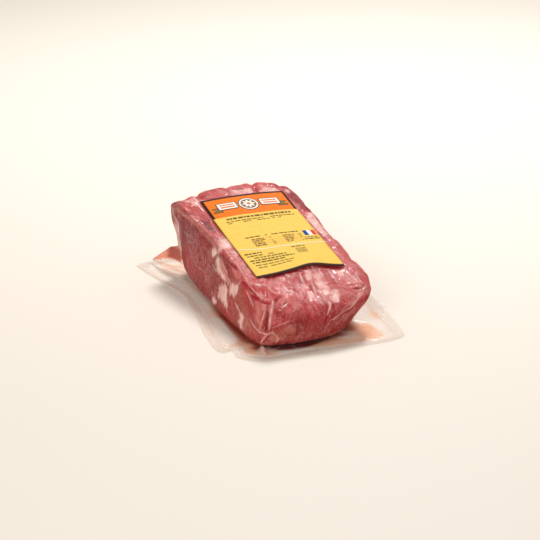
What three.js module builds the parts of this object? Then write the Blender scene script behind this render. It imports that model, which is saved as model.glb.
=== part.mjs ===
// A salted pork collar sealed in a clear vacuum pouch. The meat is a rounded block, higher at its far
// end, and the pouch's flat sealed margin runs all round its foot. A paper label lies along the top.
// Millimetres, +Z up, +Y towards the far end of the block, origin on the underside below the middle.

import * as THREE from 'three';

// The wrapped block: corners of its foot and of its shoulders, before they are rounded
const FOOT_CORNERS = {
  farLeft: [-58, 96], farRight: [58, 107], nearRight: [35, -110], nearLeft: [-56, -123],
};
const SHOULDER_CORNERS = {
  farLeft: [-65, 103], farRight: [71, 115], nearRight: [76, -111], nearLeft: [-49, -120],
};
const CORNER_HEIGHTS = { farLeft: 71.5, farRight: 75, nearRight: 42, nearLeft: 40.5 };

// How far each side bows out between its corners, at the foot and at the shoulder
const FOOT_BOW = { left: 5.5, far: 8, right: 1, near: 13 };
const SHOULDER_BOW = { left: -6, far: 9, right: -9, near: 8.5 };
const TOP_CROWN = 3;
const FAR_CROWN = 7;

// Powers of the rounding curves: 2 is a circle's arc, and larger is a tighter corner
const CORNER_POWER = { farLeft: 9, farRight: 4.8, nearRight: 5.5, nearLeft: 12 };
const SHOULDER_POWER = { left: 14, far: 9, right: 7, near: 3.4 };
const FOOT_POWER = { left: 7, far: 4, right: 3.3, near: 6 };
const SIDE_SHARPNESS = 4;

// The flat margin of the pouch
const MARGIN_THICKNESS = 1.2;
const SEAL_WIDTH = 10;
const SEAL_STEP = 0.5;
const MARGIN_OUTLINE = [
  [-90.5, 126], [-87, 103], [-80.5, 71], [-74.5, 42], [-73.2, 28], [-75.5, 6], [-78.5, -18], [-85.5, -68],
  [-87.8, -97], [-87, -108], [-83, -113], [-74, -110.5], [-76.5, -127], [-67.5, -138.5], [-58.5, -143.8],
  [-36, -144], [5, -141], [61, -137.5], [74.5, -133.5], [80, -127], [83.5, -110], [87, -77], [90, -43],
  [90.5, 0], [89.5, 75], [88.5, 137], [84, 143], [30, 144], [-30, 141.5], [-76, 134.5], [-85, 131],
];

// Relief of the film where it folds over the meat: a ridge along the left shoulder, a fin and a web of
// loose film at the far left corner, two ridges at the near left corner and a crease beside it
const EDGE_FOLD = { height: 2.6, width: 3.2, from: 0.8, fade: 0.15, clearOfFin: 6 };
const FIN = {
  reach: 8, waist: 4, width: 2.2, level: 44, fade: 12, top: 73, fadeTop: 4, towards: [-0.46, 0.888],
};
const WEB = { from: [-62, 105.5], to: [-76, 132.5], height: 23, fade: 4, width: 3 };
const CORNER_FOLDS = { height: 1.6, width: 1.8, places: [2.5, 9], rise: 10, fade: 12 };
const SHOULDER_CREASE = {
  depth: 2.4, width: 3.5, from: [-48, -84], to: [-27, -116], overrun: 0.4, above: 20,
};

// Relief of the meat itself: the hump at the label's near edge and the slow swelling of the sides, with
// its waves in millimetres for each radian
const LABEL_HUMP = { height: 5.2, at: [13.5, -66], radius: [20, 16] };
const SWELL = { height: 0.9, along: 9, across: 17, up: 13, skew: 23, start: 0.6, clearOfLabel: 10, rise: 25 };
const RELIEF_RISE = 6;

// The label
const LABEL_CENTRE = [3, 8];
const LABEL_SIZE = [82.5, 152.5];
const LABEL_TURN = THREE.MathUtils.degToRad(0.6);
const LABEL_THICKNESS = 0.5;
const LABEL_GAP = 0.4;
const LABEL_STEPS = [13, 24];

// How finely the skin is divided, with stations as shares of the way up a side or over the top
const AROUND = 148;
const CORNER_DENSITY = 3;
const CORNER_REACH = 14;
const EDGE_BAND = 3.2;
const SIDE_STATIONS = [0, 0.08, 0.16, 0.24, 0.33, 0.42, 0.51, 0.6, 0.69, 0.78, 0.87];
const TOP_STATIONS = [0.11, 0.17, 0.24, 0.32, 0.41, 0.51, 0.62, 0.74, 0.87];
const MARGIN_STATIONS = [0.2, 0.4, 0.6, 0.8];

// Steps of the searches for places of an even spacing and for the top's height, which ends at the rim
const HEIGHT_STEPS = 80;
const TURN_STEPS = 3200;
const SEARCH_STEPS = 40;
const RIM = 0.98;

// Half sizes that the block and the margin are measured with
const BLOCK_HALF = [62, 118];
const MARGIN_HALF = [90.5, 144];

function clamp(value, low, high) {
  return Math.min(Math.max(value, low), high);
}

function bell(distance, width) {
  return Math.exp(-((distance / width) ** 2));
}

function blend(from, to, share) {
  return from.map((value, i) => value + (to[i] - value) * share);
}

// The value at (a, b) of something given at the four corners, with a from -1 left to 1 right and b
// from -1 near to 1 far
function overCorners(corners, a, b) {
  const left = (1 - a) / 2;
  const near = (1 - b) / 2;
  const far = 1 - near;
  const right = 1 - left;
  return corners.farLeft * left * far + corners.farRight * right * far
    + corners.nearRight * right * near + corners.nearLeft * left * near;
}

function cornerPart(corners, part) {
  return Object.fromEntries(Object.entries(corners).map(([name, place]) => [name, place[part]]));
}

// A value given for each of the four sides, as it is in the direction (a, b)
function overSides(sides, a, b) {
  const nearness = { left: -a, right: a, near: -b, far: b };
  const weight = (side) => Math.max(nearness[side], 0) ** SIDE_SHARPNESS;
  const names = Object.keys(sides);
  const total = names.reduce((sum, side) => sum + weight(side), 0);
  return names.reduce((sum, side) => sum + sides[side] * weight(side), 0) / total;
}

function cornerPower(a, b) {
  if (b >= 0) return a >= 0 ? CORNER_POWER.farRight : CORNER_POWER.farLeft;
  return a >= 0 ? CORNER_POWER.nearRight : CORNER_POWER.nearLeft;
}

// A point of the unit square's outline at a turn from 0 to 1, anticlockwise from the near left corner
function squareOutline(turn) {
  const side = Math.floor(turn * 4) % 4;
  const along = (turn * 4 - Math.floor(turn * 4)) * 2 - 1;
  return [[along, -1], [1, along], [-along, 1], [-1, -along]][side];
}

// The same point on the outline with its corners rounded
function roundedOutline(turn) {
  const [a, b] = squareOutline(turn);
  const power = cornerPower(a, b);
  const reach = (Math.abs(a) ** power + Math.abs(b) ** power) ** (-1 / power);
  return [a * reach, b * reach];
}

const NEAR_LEFT = roundedOutline(0);
const FAR_LEFT = roundedOutline(0.75);

// The distance in the plan from a point of the unit square to one of its rounded corners
function fromCorner([a, b], corner) {
  return Math.hypot((a - corner[0]) * BLOCK_HALF[0], (b - corner[1]) * BLOCK_HALF[1]);
}

// A point of the block's space: a across, b along and c from -1 at the foot to 1 at the top
function blockPoint(a, b, c) {
  const rise = (c + 1) / 2;
  const at = [0, 1].map((part) => {
    const foot = overCorners(cornerPart(FOOT_CORNERS, part), a, b);
    const shoulder = overCorners(cornerPart(SHOULDER_CORNERS, part), a, b);
    return foot + (shoulder - foot) * rise;
  });
  const bow = (side) => FOOT_BOW[side] + (SHOULDER_BOW[side] - FOOT_BOW[side]) * rise;
  const x = at[0] + (bow('right') * Math.max(a, 0) - bow('left') * Math.max(-a, 0)) * (1 - b * b);
  const y = at[1] + (bow('far') * Math.max(b, 0) - bow('near') * Math.max(-b, 0)) * (1 - a * a);
  const crown = (TOP_CROWN * (1 - b * b) + FAR_CROWN * Math.max(b, 0) ** 2) * (1 - a * a);
  return [x, y, rise * (overCorners(CORNER_HEIGHTS, a, b) + crown)];
}

// The skin at a turn round the plan and a height from 0 at the foot over 1 at the shoulder to 2 at the
// middle of the top
function skinPoint(turn, height) {
  const [a, b] = roundedOutline(turn);
  const [out, level] = height < 1 ? [1, 2 * height - 1] : [2 - height, 1];
  const power = overSides(level < 0 ? FOOT_POWER : SHOULDER_POWER, a, b);
  const reach = (out ** power + Math.abs(level) ** power) ** (-1 / power);
  return blockPoint(a * out * reach, b * out * reach, level * reach);
}

// The lengths reached along a run of points
function lengthsAlong(points) {
  const lengths = [0];
  for (let i = 1; i < points.length; i += 1) {
    lengths.push(lengths[i - 1] + Math.hypot(...points[i].map((value, k) => value - points[i - 1][k])));
  }
  return lengths;
}

// The position at which a growing list of lengths reaches a wanted one, in steps of the list
function positionAt(lengths, wanted) {
  const i = clamp(lengths.findIndex((length) => length >= wanted), 1, lengths.length - 1);
  return i - 1 + clamp((wanted - lengths[i - 1]) / (lengths[i] - lengths[i - 1]), 0, 1);
}

// Heights between two given ones at which the skin's length reaches the wanted parts of its whole, each
// part a share of the length and an extra distance
function heightsAlong(turn, from, to, parts) {
  const heights = Array.from({ length: HEIGHT_STEPS + 1 }, (_, i) => from + ((to - from) * i) / HEIGHT_STEPS);
  const lengths = lengthsAlong(heights.map((height) => skinPoint(turn, height)));
  return parts.map(([share, extra]) => {
    const position = positionAt(lengths, share * lengths[HEIGHT_STEPS] + extra);
    return from + ((to - from) * position) / HEIGHT_STEPS;
  });
}

// Turns round the plan, even along the outline but closer together at the two folded left corners
function spacedTurns() {
  const share = (i) => (i % TURN_STEPS) / TURN_STEPS;
  const points = Array.from({ length: TURN_STEPS + 1 }, (_, i) => roundedOutline(share(i)));
  const reached = [0];
  for (let i = 1; i <= TURN_STEPS; i += 1) {
    const step = fromCorner(points[i], points[i - 1]);
    const toCorner = Math.min(fromCorner(points[i], FAR_LEFT), fromCorner(points[i], NEAR_LEFT));
    reached.push(reached[i - 1] + step * (1 + CORNER_DENSITY * bell(toCorner, CORNER_REACH)));
  }
  const whole = reached[TURN_STEPS];
  return Array.from({ length: AROUND }, (_, k) => positionAt(reached, (whole * k) / AROUND) / TURN_STEPS);
}

// The margin's outer edge in the direction of a point of the unit square
function marginEdge([a, b]) {
  const direction = Math.atan2(b, a);
  const turn = (angle) => Math.atan2(Math.sin(angle - direction), Math.cos(angle - direction));
  const count = MARGIN_OUTLINE.length;
  for (let i = 0; i < count; i += 1) {
    const [p, q] = [MARGIN_OUTLINE[i], MARGIN_OUTLINE[(i + 1) % count]];
    const [before, after] = [p, q].map(([x, y]) => turn(Math.atan2(y / MARGIN_HALF[1], x / MARGIN_HALF[0])));
    if (before <= 0 && after > 0 && after - before < Math.PI) {
      return blend(p, q, before / (before - after));
    }
  }
  throw new Error('the margin outline leaves a direction open');
}

// How far a point of the skin stands out where the film is folded, from its place round the plan and
// its distance past the shoulder
function foldHeight([x, y, z], square, pastShoulder) {
  return edgeFold(square, pastShoulder) + foldsAtNearCorner(square, z, pastShoulder)
    - creaseDepth(x, y, z) + swell(x, y, z);
}

// The ridge of doubled film along the left shoulder
function edgeFold(square, pastShoulder) {
  const { height, width, from, fade, clearOfFin } = EDGE_FOLD;
  const onLeft = clamp((-square[0] - from) / fade, 0, 1);
  const clear = 1 - bell(fromCorner(square, FAR_LEFT), clearOfFin);
  return height * onLeft * clear * bell(pastShoulder, width);
}

// The upright ridges on the front beside the near left corner
function foldsAtNearCorner([a, b], z, pastShoulder) {
  if (b > NEAR_LEFT[1] / 2 || a > 0) return 0;
  const { height, width, places, rise, fade } = CORNER_FOLDS;
  const alongFront = (a - NEAR_LEFT[0]) * BLOCK_HALF[0];
  const ridges = places.reduce((sum, place) => sum + bell(alongFront - place, width), 0);
  return height * ridges * clamp(z / rise, 0, 1) * clamp(1 - pastShoulder / fade, 0, 1);
}

// How far the fin of loose film stands out down the far left corner
function finReach(square, z, pastShoulder) {
  if (pastShoulder > 0) return 0;
  const { reach, waist, level, fade, top, fadeTop, width } = FIN;
  const out = waist + (reach - waist) * clamp((z - level) / fade + 0.5, 0, 1);
  return out * clamp((top - z) / fadeTop, 0, 1) * bell(fromCorner(square, FAR_LEFT), width);
}

// A point of the far left corner, pulled out low down onto the web of film that runs to the margin
function webbedPlace(x, y, z, square) {
  const line = blend(WEB.to, WEB.from, z / WEB.height);
  const low = clamp((WEB.height + WEB.fade - z) / WEB.fade, 0, 1);
  return blend([x, y], line, low * bell(fromCorner(square, FAR_LEFT), WEB.width));
}

// The depth of the crease that runs in from the near left corner
function creaseDepth(x, y, z) {
  const { from, to, depth, width, overrun, above } = SHOULDER_CREASE;
  const run = [to[0] - from[0], to[1] - from[1]];
  const share = ((x - from[0]) * run[0] + (y - from[1]) * run[1]) / (run[0] ** 2 + run[1] ** 2);
  const off = Math.hypot(x - from[0] - share * run[0], y - from[1] - share * run[1]);
  const inside = clamp(1 + overrun - Math.abs(share - 0.5) * 2, 0, 1);
  return z > above ? depth * inside * bell(off, width) : 0;
}

// The meat's own slow swelling, which leaves the label's bed and the foot alone
function swell(x, y, z) {
  const { height, along, across, up, skew, start, clearOfLabel, rise } = SWELL;
  const fromX = Math.abs(x - LABEL_CENTRE[0]) - LABEL_SIZE[0] / 2;
  const fromY = Math.abs(y - LABEL_CENTRE[1]) - LABEL_SIZE[1] / 2;
  const clear = clamp(Math.max(fromX, fromY) / clearOfLabel, 0, 1);
  const waves = Math.sin(y / along + x / across) * Math.sin(z / up + x / skew + start);
  return height * waves * clear * clamp(z / rise, 0, 1);
}

function humpHeight(x, y) {
  const { height, at, radius } = LABEL_HUMP;
  return height * bell(Math.hypot((x - at[0]) / radius[0], (y - at[1]) / radius[1]), 1);
}

// Columns of points from the outer edge of the underside, over the margin and the block, to the top
function skinColumns() {
  const sideParts = [...SIDE_STATIONS.map((share) => [share, 0]), [1, -EDGE_BAND]];
  const topParts = [[0, EDGE_BAND], ...TOP_STATIONS.map((share) => [share, 0])];
  const turns = spacedTurns();
  const columns = turns.map((turn) => {
    const heights = [...heightsAlong(turn, 0, 1, sideParts), 1, ...heightsAlong(turn, 1, 2, topParts)];
    return heights.map((height) => skinPoint(turn, height));
  });
  return columns.map((skin, k) => {
    const [before, after] = [columns.at(k - 1), columns[(k + 1) % AROUND]];
    const square = roundedOutline(turns[k]);
    const past = distancesPastShoulder(skin);
    const normals = skin.map((_, j) => skinNormal(before, skin, after, j));
    const folded = skin.map((point, j) => foldedPoint(point, square, normals[j], past[j]));
    const edge = marginEdge(square);
    return [new THREE.Vector3(...edge, 0), ...marginPoints(edge, folded[0].toArray()), ...folded];
  });
}

// A point of the skin with all the relief of its place
function foldedPoint([x, y, z], square, outward, pastShoulder) {
  const fold = foldHeight([x, y, z], square, pastShoulder) * clamp(z / RELIEF_RISE, 0, 1);
  const fin = finReach(square, z, pastShoulder);
  const place = webbedPlace(x + fin * FIN.towards[0], y + fin * FIN.towards[1], z, square);
  const hump = pastShoulder > 0 ? humpHeight(x, y) : 0;
  return new THREE.Vector3(...place, z + hump).addScaledVector(outward, fold);
}

// The outward direction of the skin at the j-th point of a column, from its neighbours
function skinNormal(before, column, after, j) {
  const vector = (p, q) => new THREE.Vector3(q[0] - p[0], q[1] - p[1], q[2] - p[2]);
  const round = vector(before[j], after[j]);
  const up = vector(column[Math.max(j - 1, 0)], column[Math.min(j + 1, column.length - 1)]);
  return round.cross(up).normalize();
}

// The distances along a column from its shoulder to each point, under 0 below the shoulder
function distancesPastShoulder(column) {
  const lengths = lengthsAlong(column);
  return lengths.map((length) => length - lengths[SIDE_STATIONS.length + 1]);
}

// The margin's upper face from its edge, over the thin seal, and up to the foot of the block
function marginPoints(edge, foot) {
  const width = Math.hypot(foot[0] - edge[0], foot[1] - edge[1]);
  const seal = SEAL_WIDTH / width;
  const inner = MARGIN_STATIONS.map((past) => {
    const lift = (foot[2] - MARGIN_THICKNESS) * past ** 3;
    return [...blend(edge, foot, seal + (1 - seal) * past), MARGIN_THICKNESS + SEAL_STEP + lift];
  });
  const outer = [0, seal].map((share) => [...blend(edge, foot, share), MARGIN_THICKNESS]);
  return [...outer, ...inner].map((point) => new THREE.Vector3(...point));
}

// A closed skin through columns of points, with a pole at each end
function closedSkin(columns, lowPole, highPole) {
  const rows = columns[0].length;
  const around = columns.length;
  const positions = columns.flatMap((column) => column.flatMap((point) => point.toArray()));
  positions.push(...lowPole.toArray(), ...highPole.toArray());
  const faces = [];
  for (let k = 0; k < around; k += 1) {
    const [here, next] = [k * rows, ((k + 1) % around) * rows];
    faces.push(around * rows, next, here);
    for (let j = 0; j < rows - 1; j += 1) {
      faces.push(here + j, next + j, next + j + 1, here + j, next + j + 1, here + j + 1);
    }
    faces.push(here + rows - 1, next + rows - 1, around * rows + 1);
  }
  const geometry = new THREE.BufferGeometry();
  geometry.setAttribute('position', new THREE.Float32BufferAttribute(positions, 3));
  geometry.setIndex(faces);
  return geometry;
}

// The height of the block's top above a point of the plan
function topHeight(x, y) {
  let [a, b] = [0, 0];
  let point = blockPoint(0, 0, 1);
  for (let i = 0; i < SEARCH_STEPS; i += 1) {
    a = clamp(a + (x - point[0]) / BLOCK_HALF[0], -RIM, RIM);
    b = clamp(b + (y - point[1]) / BLOCK_HALF[1], -RIM, RIM);
    point = blockPoint(a, b, topLevel(a, b));
  }
  return point[2] + humpHeight(x, y);
}

// The level of the rounded top above a place (a, b) of the block's space
function topLevel(a, b) {
  const corner = cornerPower(a, b);
  const out = Math.min((Math.abs(a) ** corner + Math.abs(b) ** corner) ** (1 / corner), RIM);
  const power = overSides(SHOULDER_POWER, a, b);
  return (1 - out ** power) ** (1 / power);
}

// The label: a thin sheet that follows the top of the block
function labelGeometry() {
  const [columns, rows] = LABEL_STEPS;
  const places = [];
  for (let i = 0; i <= columns; i += 1) {
    for (let j = 0; j <= rows; j += 1) {
      const [across, along] = [LABEL_SIZE[0] * (i / columns - 0.5), LABEL_SIZE[1] * (j / rows - 0.5)];
      const x = LABEL_CENTRE[0] + across * Math.cos(LABEL_TURN) - along * Math.sin(LABEL_TURN);
      const y = LABEL_CENTRE[1] + across * Math.sin(LABEL_TURN) + along * Math.cos(LABEL_TURN);
      places.push([x, y, topHeight(x, y) + LABEL_GAP]);
    }
  }
  return closedSheet(places, columns, rows, LABEL_THICKNESS);
}

// A closed sheet of even height over a grid of points
function closedSheet(places, columns, rows, thickness) {
  const lower = places.flat();
  const upper = places.flatMap(([x, y, z]) => [x, y, z + thickness]);
  const count = places.length;
  const at = (i, j) => i * (rows + 1) + j;
  const faces = [];
  for (let i = 0; i < columns; i += 1) {
    for (let j = 0; j < rows; j += 1) {
      const [p, q, r, s] = [at(i, j), at(i + 1, j), at(i + 1, j + 1), at(i, j + 1)];
      faces.push(p + count, q + count, r + count, p + count, r + count, s + count);
      faces.push(p, r, q, p, s, r);
    }
  }
  const rim = [];
  for (let i = 0; i < columns; i += 1) rim.push(at(i, 0));
  for (let j = 0; j < rows; j += 1) rim.push(at(columns, j));
  for (let i = columns; i > 0; i -= 1) rim.push(at(i, rows));
  for (let j = rows; j > 0; j -= 1) rim.push(at(0, j));
  rim.forEach((here, k) => {
    const next = rim[(k + 1) % rim.length];
    faces.push(here, next, next + count, here, next + count, here + count);
  });
  const geometry = new THREE.BufferGeometry();
  geometry.setAttribute('position', new THREE.Float32BufferAttribute([...lower, ...upper], 3));
  geometry.setIndex(faces);
  return geometry;
}

function pouch() {
  const columns = skinColumns();
  const peak = new THREE.Vector3(...blockPoint(0, 0, 1));
  const geometry = closedSkin(columns, new THREE.Vector3(0, 0, 0), peak);
  const material = new THREE.MeshStandardMaterial({ color: 0xb05a5c, roughness: 0.25, metalness: 0 });
  const mesh = new THREE.Mesh(geometry, material);
  mesh.name = 'vacuum_pouch';
  return mesh;
}

function label() {
  const material = new THREE.MeshStandardMaterial({ color: 0xf6cf57, roughness: 0.4, metalness: 0 });
  const mesh = new THREE.Mesh(labelGeometry(), material);
  mesh.name = 'label';
  return mesh;
}

const collar = new THREE.Group();
collar.add(pouch(), label());

export default collar;
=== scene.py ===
"""A salted pork collar in a clear vacuum pouch, with a printed label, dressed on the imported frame.

The meat, the film drawn over it, the pouch's flat margin and the label are each a mesh that follows the
same rounded block as the solids. Lengths are millimetres until a mesh is made, which is in metres.
"""

import math

import bpy
import numpy as np
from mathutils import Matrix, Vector


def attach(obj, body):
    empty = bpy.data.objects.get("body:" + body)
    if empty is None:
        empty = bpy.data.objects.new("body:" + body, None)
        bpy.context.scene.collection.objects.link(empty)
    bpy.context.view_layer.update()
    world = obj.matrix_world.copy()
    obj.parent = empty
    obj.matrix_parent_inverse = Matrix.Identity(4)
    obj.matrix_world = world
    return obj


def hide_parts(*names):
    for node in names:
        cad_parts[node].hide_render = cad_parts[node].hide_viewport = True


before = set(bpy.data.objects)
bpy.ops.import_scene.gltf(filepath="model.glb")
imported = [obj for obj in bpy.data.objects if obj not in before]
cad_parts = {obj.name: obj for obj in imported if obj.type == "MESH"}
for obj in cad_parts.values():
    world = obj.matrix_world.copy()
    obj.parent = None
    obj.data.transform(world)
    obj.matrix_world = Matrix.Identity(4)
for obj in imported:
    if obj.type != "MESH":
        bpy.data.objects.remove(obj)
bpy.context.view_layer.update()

MM = 0.001

# The wrapped block: corners of its foot and of its shoulders, before they are rounded
FOOT_CORNERS = {
    "far_left": (-58, 96), "far_right": (58, 107), "near_right": (35, -110), "near_left": (-56, -123),
}
SHOULDER_CORNERS = {
    "far_left": (-65, 103), "far_right": (71, 115), "near_right": (76, -111), "near_left": (-49, -120),
}
CORNER_HEIGHTS = {"far_left": (71.5,), "far_right": (75,), "near_right": (42,), "near_left": (40.5,)}
FOOT_BOW = {"left": 5.5, "far": 8, "right": 1, "near": 13}
SHOULDER_BOW = {"left": -6, "far": 9, "right": -9, "near": 8.5}
TOP_CROWN = 3
FAR_CROWN = 7

# Powers of the rounding curves: 2 is a circle's arc, and larger is a tighter corner
CORNER_POWER = {"far_left": 9, "far_right": 4.8, "near_right": 5.5, "near_left": 12}
SHOULDER_POWER = {"left": 14, "far": 9, "right": 7, "near": 3.4}
FOOT_POWER = {"left": 7, "far": 4, "right": 3.3, "near": 6}
SIDE_SHARPNESS = 4
BLOCK_HALF = (62, 118)

# The flat margin of the pouch
SEAL_WIDTH = 10
SEAL_ROWS = 8
MARGIN_ROWS = 24
MARGIN_HALF = (90.5, 144)
MARGIN_TRIM = 0.998
MARGIN_OUTLINE = [
    (-90.5, 126), (-87, 103), (-80.5, 71), (-74.5, 42), (-73.2, 28), (-75.5, 6), (-78.5, -18), (-85.5, -68),
    (-87.8, -97), (-87, -108), (-83, -113), (-74, -110.5), (-76.5, -127), (-67.5, -138.5), (-58.5, -143.8),
    (-36, -144), (5, -141), (61, -137.5), (74.5, -133.5), (80, -127), (83.5, -110), (87, -77), (90, -43),
    (90.5, 0), (89.5, 75), (88.5, 137), (84, 143), (30, 144), (-30, 141.5), (-76, 134.5), (-85, 131),
]

# The label
LABEL_CENTRE = (3, 8)
LABEL_SIZE = (82.5, 152.5)
LABEL_TURN = math.radians(0.6)
LABEL_GAP = 0.25
LABEL_THICKNESS = 0.25

# How finely the skin is divided: columns round it, rows up the side and over the top, and a few more rows
# under the label, at shares of the way from its edge to the top's middle
AROUND = 690
SIDE_ROWS = 66
TOP_ROWS = 54
UNDERSIDE_ROWS = 10
UNDER_LABEL = (0.15, 0.35, 0.6, 0.85)
LABEL_LAP = 1
LABEL_STEP = 1.5
CORNER_DENSITY = 1
CORNER_REACH = 14

# How finely places on the skin are searched for
SEARCH_STEPS = 40
RIM = 0.98
FINE_STEPS = 160
TURN_STEPS = 6900

# Amounts too small to see, which keep a divisor above 0
SLIGHT = 1e-9
SLIGHTEST = 1e-12


def clamp(value, low=0.0, high=1.0):
    return np.clip(value, low, high)


def bell(distance, width, power=2):
    return np.exp(-(np.abs(distance / width) ** power))


def rise(value, start, end):
    """0 below start, 1 above end and a smooth step between them."""
    share = clamp((value - start) / (end - start))
    return share * share * (3 - 2 * share)


def between(value, start, end):
    """1 between two borders and 0 outside them, with a smooth step from one value to the next at each."""
    return rise(value, *start) * rise(-value, -end[1], -end[0])


def mix(low, high, share):
    return low + (high - low) * share


def over_corners(corners, a, b):
    """Values given at the four corners, at places (a, b) from -1 to 1 between them."""
    left, near = (1 - a) / 2, (1 - b) / 2
    shares = {
        "far_left": left * (1 - near), "far_right": (1 - left) * (1 - near),
        "near_right": (1 - left) * near, "near_left": left * near,
    }
    return sum(share[..., None] * np.array(corners[name], float) for name, share in shares.items())


def over_sides(sides, a, b):
    """A value given for each of the four sides, as it is in the direction (a, b)."""
    nearness = {"left": -a, "right": a, "near": -b, "far": b}
    weights = {side: np.maximum(nearness[side], 0) ** SIDE_SHARPNESS + SLIGHTEST for side in sides}
    return sum(sides[side] * weights[side] for side in sides) / sum(weights.values())


def corner_power(a, b):
    far = np.where(a >= 0, CORNER_POWER["far_right"], CORNER_POWER["far_left"])
    near = np.where(a >= 0, CORNER_POWER["near_right"], CORNER_POWER["near_left"])
    return np.where(b >= 0, far, near)


def rounded_outline(turn):
    """The rounded square's point at a turn from 0 to 1, anticlockwise from the near left corner."""
    side = np.floor(turn * 4).astype(int) % 4
    along = (turn * 4 % 1) * 2 - 1
    a = np.choose(side, [along, np.ones_like(along), -along, -np.ones_like(along)])
    b = np.choose(side, [-np.ones_like(along), along, np.ones_like(along), -along])
    power = corner_power(a, b)
    reach = (np.abs(a) ** power + np.abs(b) ** power) ** (-1 / power)
    return a * reach, b * reach


def block_point(a, b, c):
    """A point of the block's space: a across, b along and c from -1 at the foot to 1 at the top."""
    up = (c + 1) / 2
    foot, shoulder = over_corners(FOOT_CORNERS, a, b), over_corners(SHOULDER_CORNERS, a, b)
    place = foot + (shoulder - foot) * up[..., None]
    bow = {side: mix(FOOT_BOW[side], SHOULDER_BOW[side], up) for side in FOOT_BOW}
    x = place[..., 0] + (bow["right"] * np.maximum(a, 0) - bow["left"] * np.maximum(-a, 0)) * (1 - b * b)
    y = place[..., 1] + (bow["far"] * np.maximum(b, 0) - bow["near"] * np.maximum(-b, 0)) * (1 - a * a)
    crown = (TOP_CROWN * (1 - b * b) + FAR_CROWN * np.maximum(b, 0) ** 2) * (1 - a * a)
    z = up * (over_corners(CORNER_HEIGHTS, a, b)[..., 0] + crown)
    return np.stack([x, y, z], -1)


def skin_point(turn, height):
    """The block's skin at a turn round the plan and a height, which runs from -1 at the underside's middle
    over 0 at the foot and 1 at the shoulder to 2 at the top's middle."""
    a, b = rounded_outline(turn)
    out = clamp(np.minimum(1 + height, 2 - height))
    level = clamp(2 * height - 1, -1, 1)
    power = np.where(level < 0, over_sides(FOOT_POWER, a, b), over_sides(SHOULDER_POWER, a, b))
    reach = (out ** power + np.abs(level) ** power) ** (-1 / power)
    return block_point(a * out * reach, b * out * reach, level * reach)


def plan_distance(square, corner):
    """The distance in the plan from places of the rounded square to one of its corners."""
    return np.hypot((square[0] - corner[0]) * BLOCK_HALF[0], (square[1] - corner[1]) * BLOCK_HALF[1])


NEAR_LEFT = rounded_outline(np.array(0.0))
FAR_LEFT = rounded_outline(np.array(0.75))


def lengths_down(points):
    """The lengths reached along the columns of a grid of points."""
    steps = np.linalg.norm(np.diff(points, axis=0), axis=-1)
    return np.vstack([np.zeros(steps.shape[1:]), np.cumsum(steps, axis=0)])


def spaced_turns(count):
    """Turns round the plan, even along the outline but closer together at the two folded left corners."""
    fine = np.arange(TURN_STEPS + 1) / TURN_STEPS
    square = rounded_outline(fine % 1)
    steps = np.hypot(np.diff(square[0]) * BLOCK_HALF[0], np.diff(square[1]) * BLOCK_HALF[1])
    to_corner = np.minimum(plan_distance(square, NEAR_LEFT), plan_distance(square, FAR_LEFT))[1:]
    reached = np.concatenate([[0], np.cumsum(steps * (1 + CORNER_DENSITY * bell(to_corner, CORNER_REACH)))])
    return np.interp(np.arange(count) / count * reached[-1], reached, fine)


def heights_along(turns, start, end, shares):
    """Heights at which the skin's length from start to end reaches the wanted shares, by column."""
    fine = np.linspace(start, end, FINE_STEPS + 1)
    lengths = lengths_down(skin_point(turns[None, :], np.repeat(fine[:, None], len(turns), 1)))
    shares = np.broadcast_to(shares, (shares.shape[0], len(turns)))
    columns = [np.interp(shares[:, k] * lengths[-1, k], lengths[:, k], fine) for k in range(len(turns))]
    return np.stack(columns, 1)


def label_place(x, y):
    """Places in the label's own plane: across from its left edge and along from its far edge."""
    dx, dy = x - LABEL_CENTRE[0], y - LABEL_CENTRE[1]
    across = dx * math.cos(LABEL_TURN) + dy * math.sin(LABEL_TURN)
    along = -dx * math.sin(LABEL_TURN) + dy * math.cos(LABEL_TURN)
    return across + LABEL_SIZE[0] / 2, LABEL_SIZE[1] / 2 - along


def past_label(x, y):
    """The distance outside the label's edge, under 0 inside it."""
    across, along = label_place(x, y)
    outside = [-across, across - LABEL_SIZE[0], -along, along - LABEL_SIZE[1]]
    return np.max(outside, axis=0)


def label_shares(turns):
    """The share of each column from the shoulder to the top's middle at which the label begins."""
    fine = np.linspace(1, 2, FINE_STEPS + 1)
    points = skin_point(turns[None, :], np.repeat(fine[:, None], len(turns), 1))
    lengths = lengths_down(points)
    covered = past_label(points[..., 0], points[..., 1]) < -LABEL_LAP
    first = np.argmax(covered, axis=0)
    return np.take_along_axis(lengths, first[None, :], 0)[0] / lengths[-1]


def skin_heights(turns, under_rows):
    """The heights of the skin's rows, by column, and how many of the rows lie over the top."""
    side = heights_along(turns, 0, 1, np.linspace(0, 1, SIDE_ROWS + 1)[:, None])
    edge = label_shares(turns)[None, :]
    fine = np.linspace(0, 1, TOP_ROWS + 1)[1:, None] * edge
    coarse = edge + (1 - edge) * np.array(UNDER_LABEL)[:, None]
    top = heights_along(turns, 1, 2, np.vstack([fine, coarse]))
    rows = [side, top]
    if under_rows:
        rows.insert(0, heights_along(turns, -1, 0, np.linspace(0, 1, under_rows + 1)[1:-1, None]))
    return np.vstack(rows), len(top)


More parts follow.
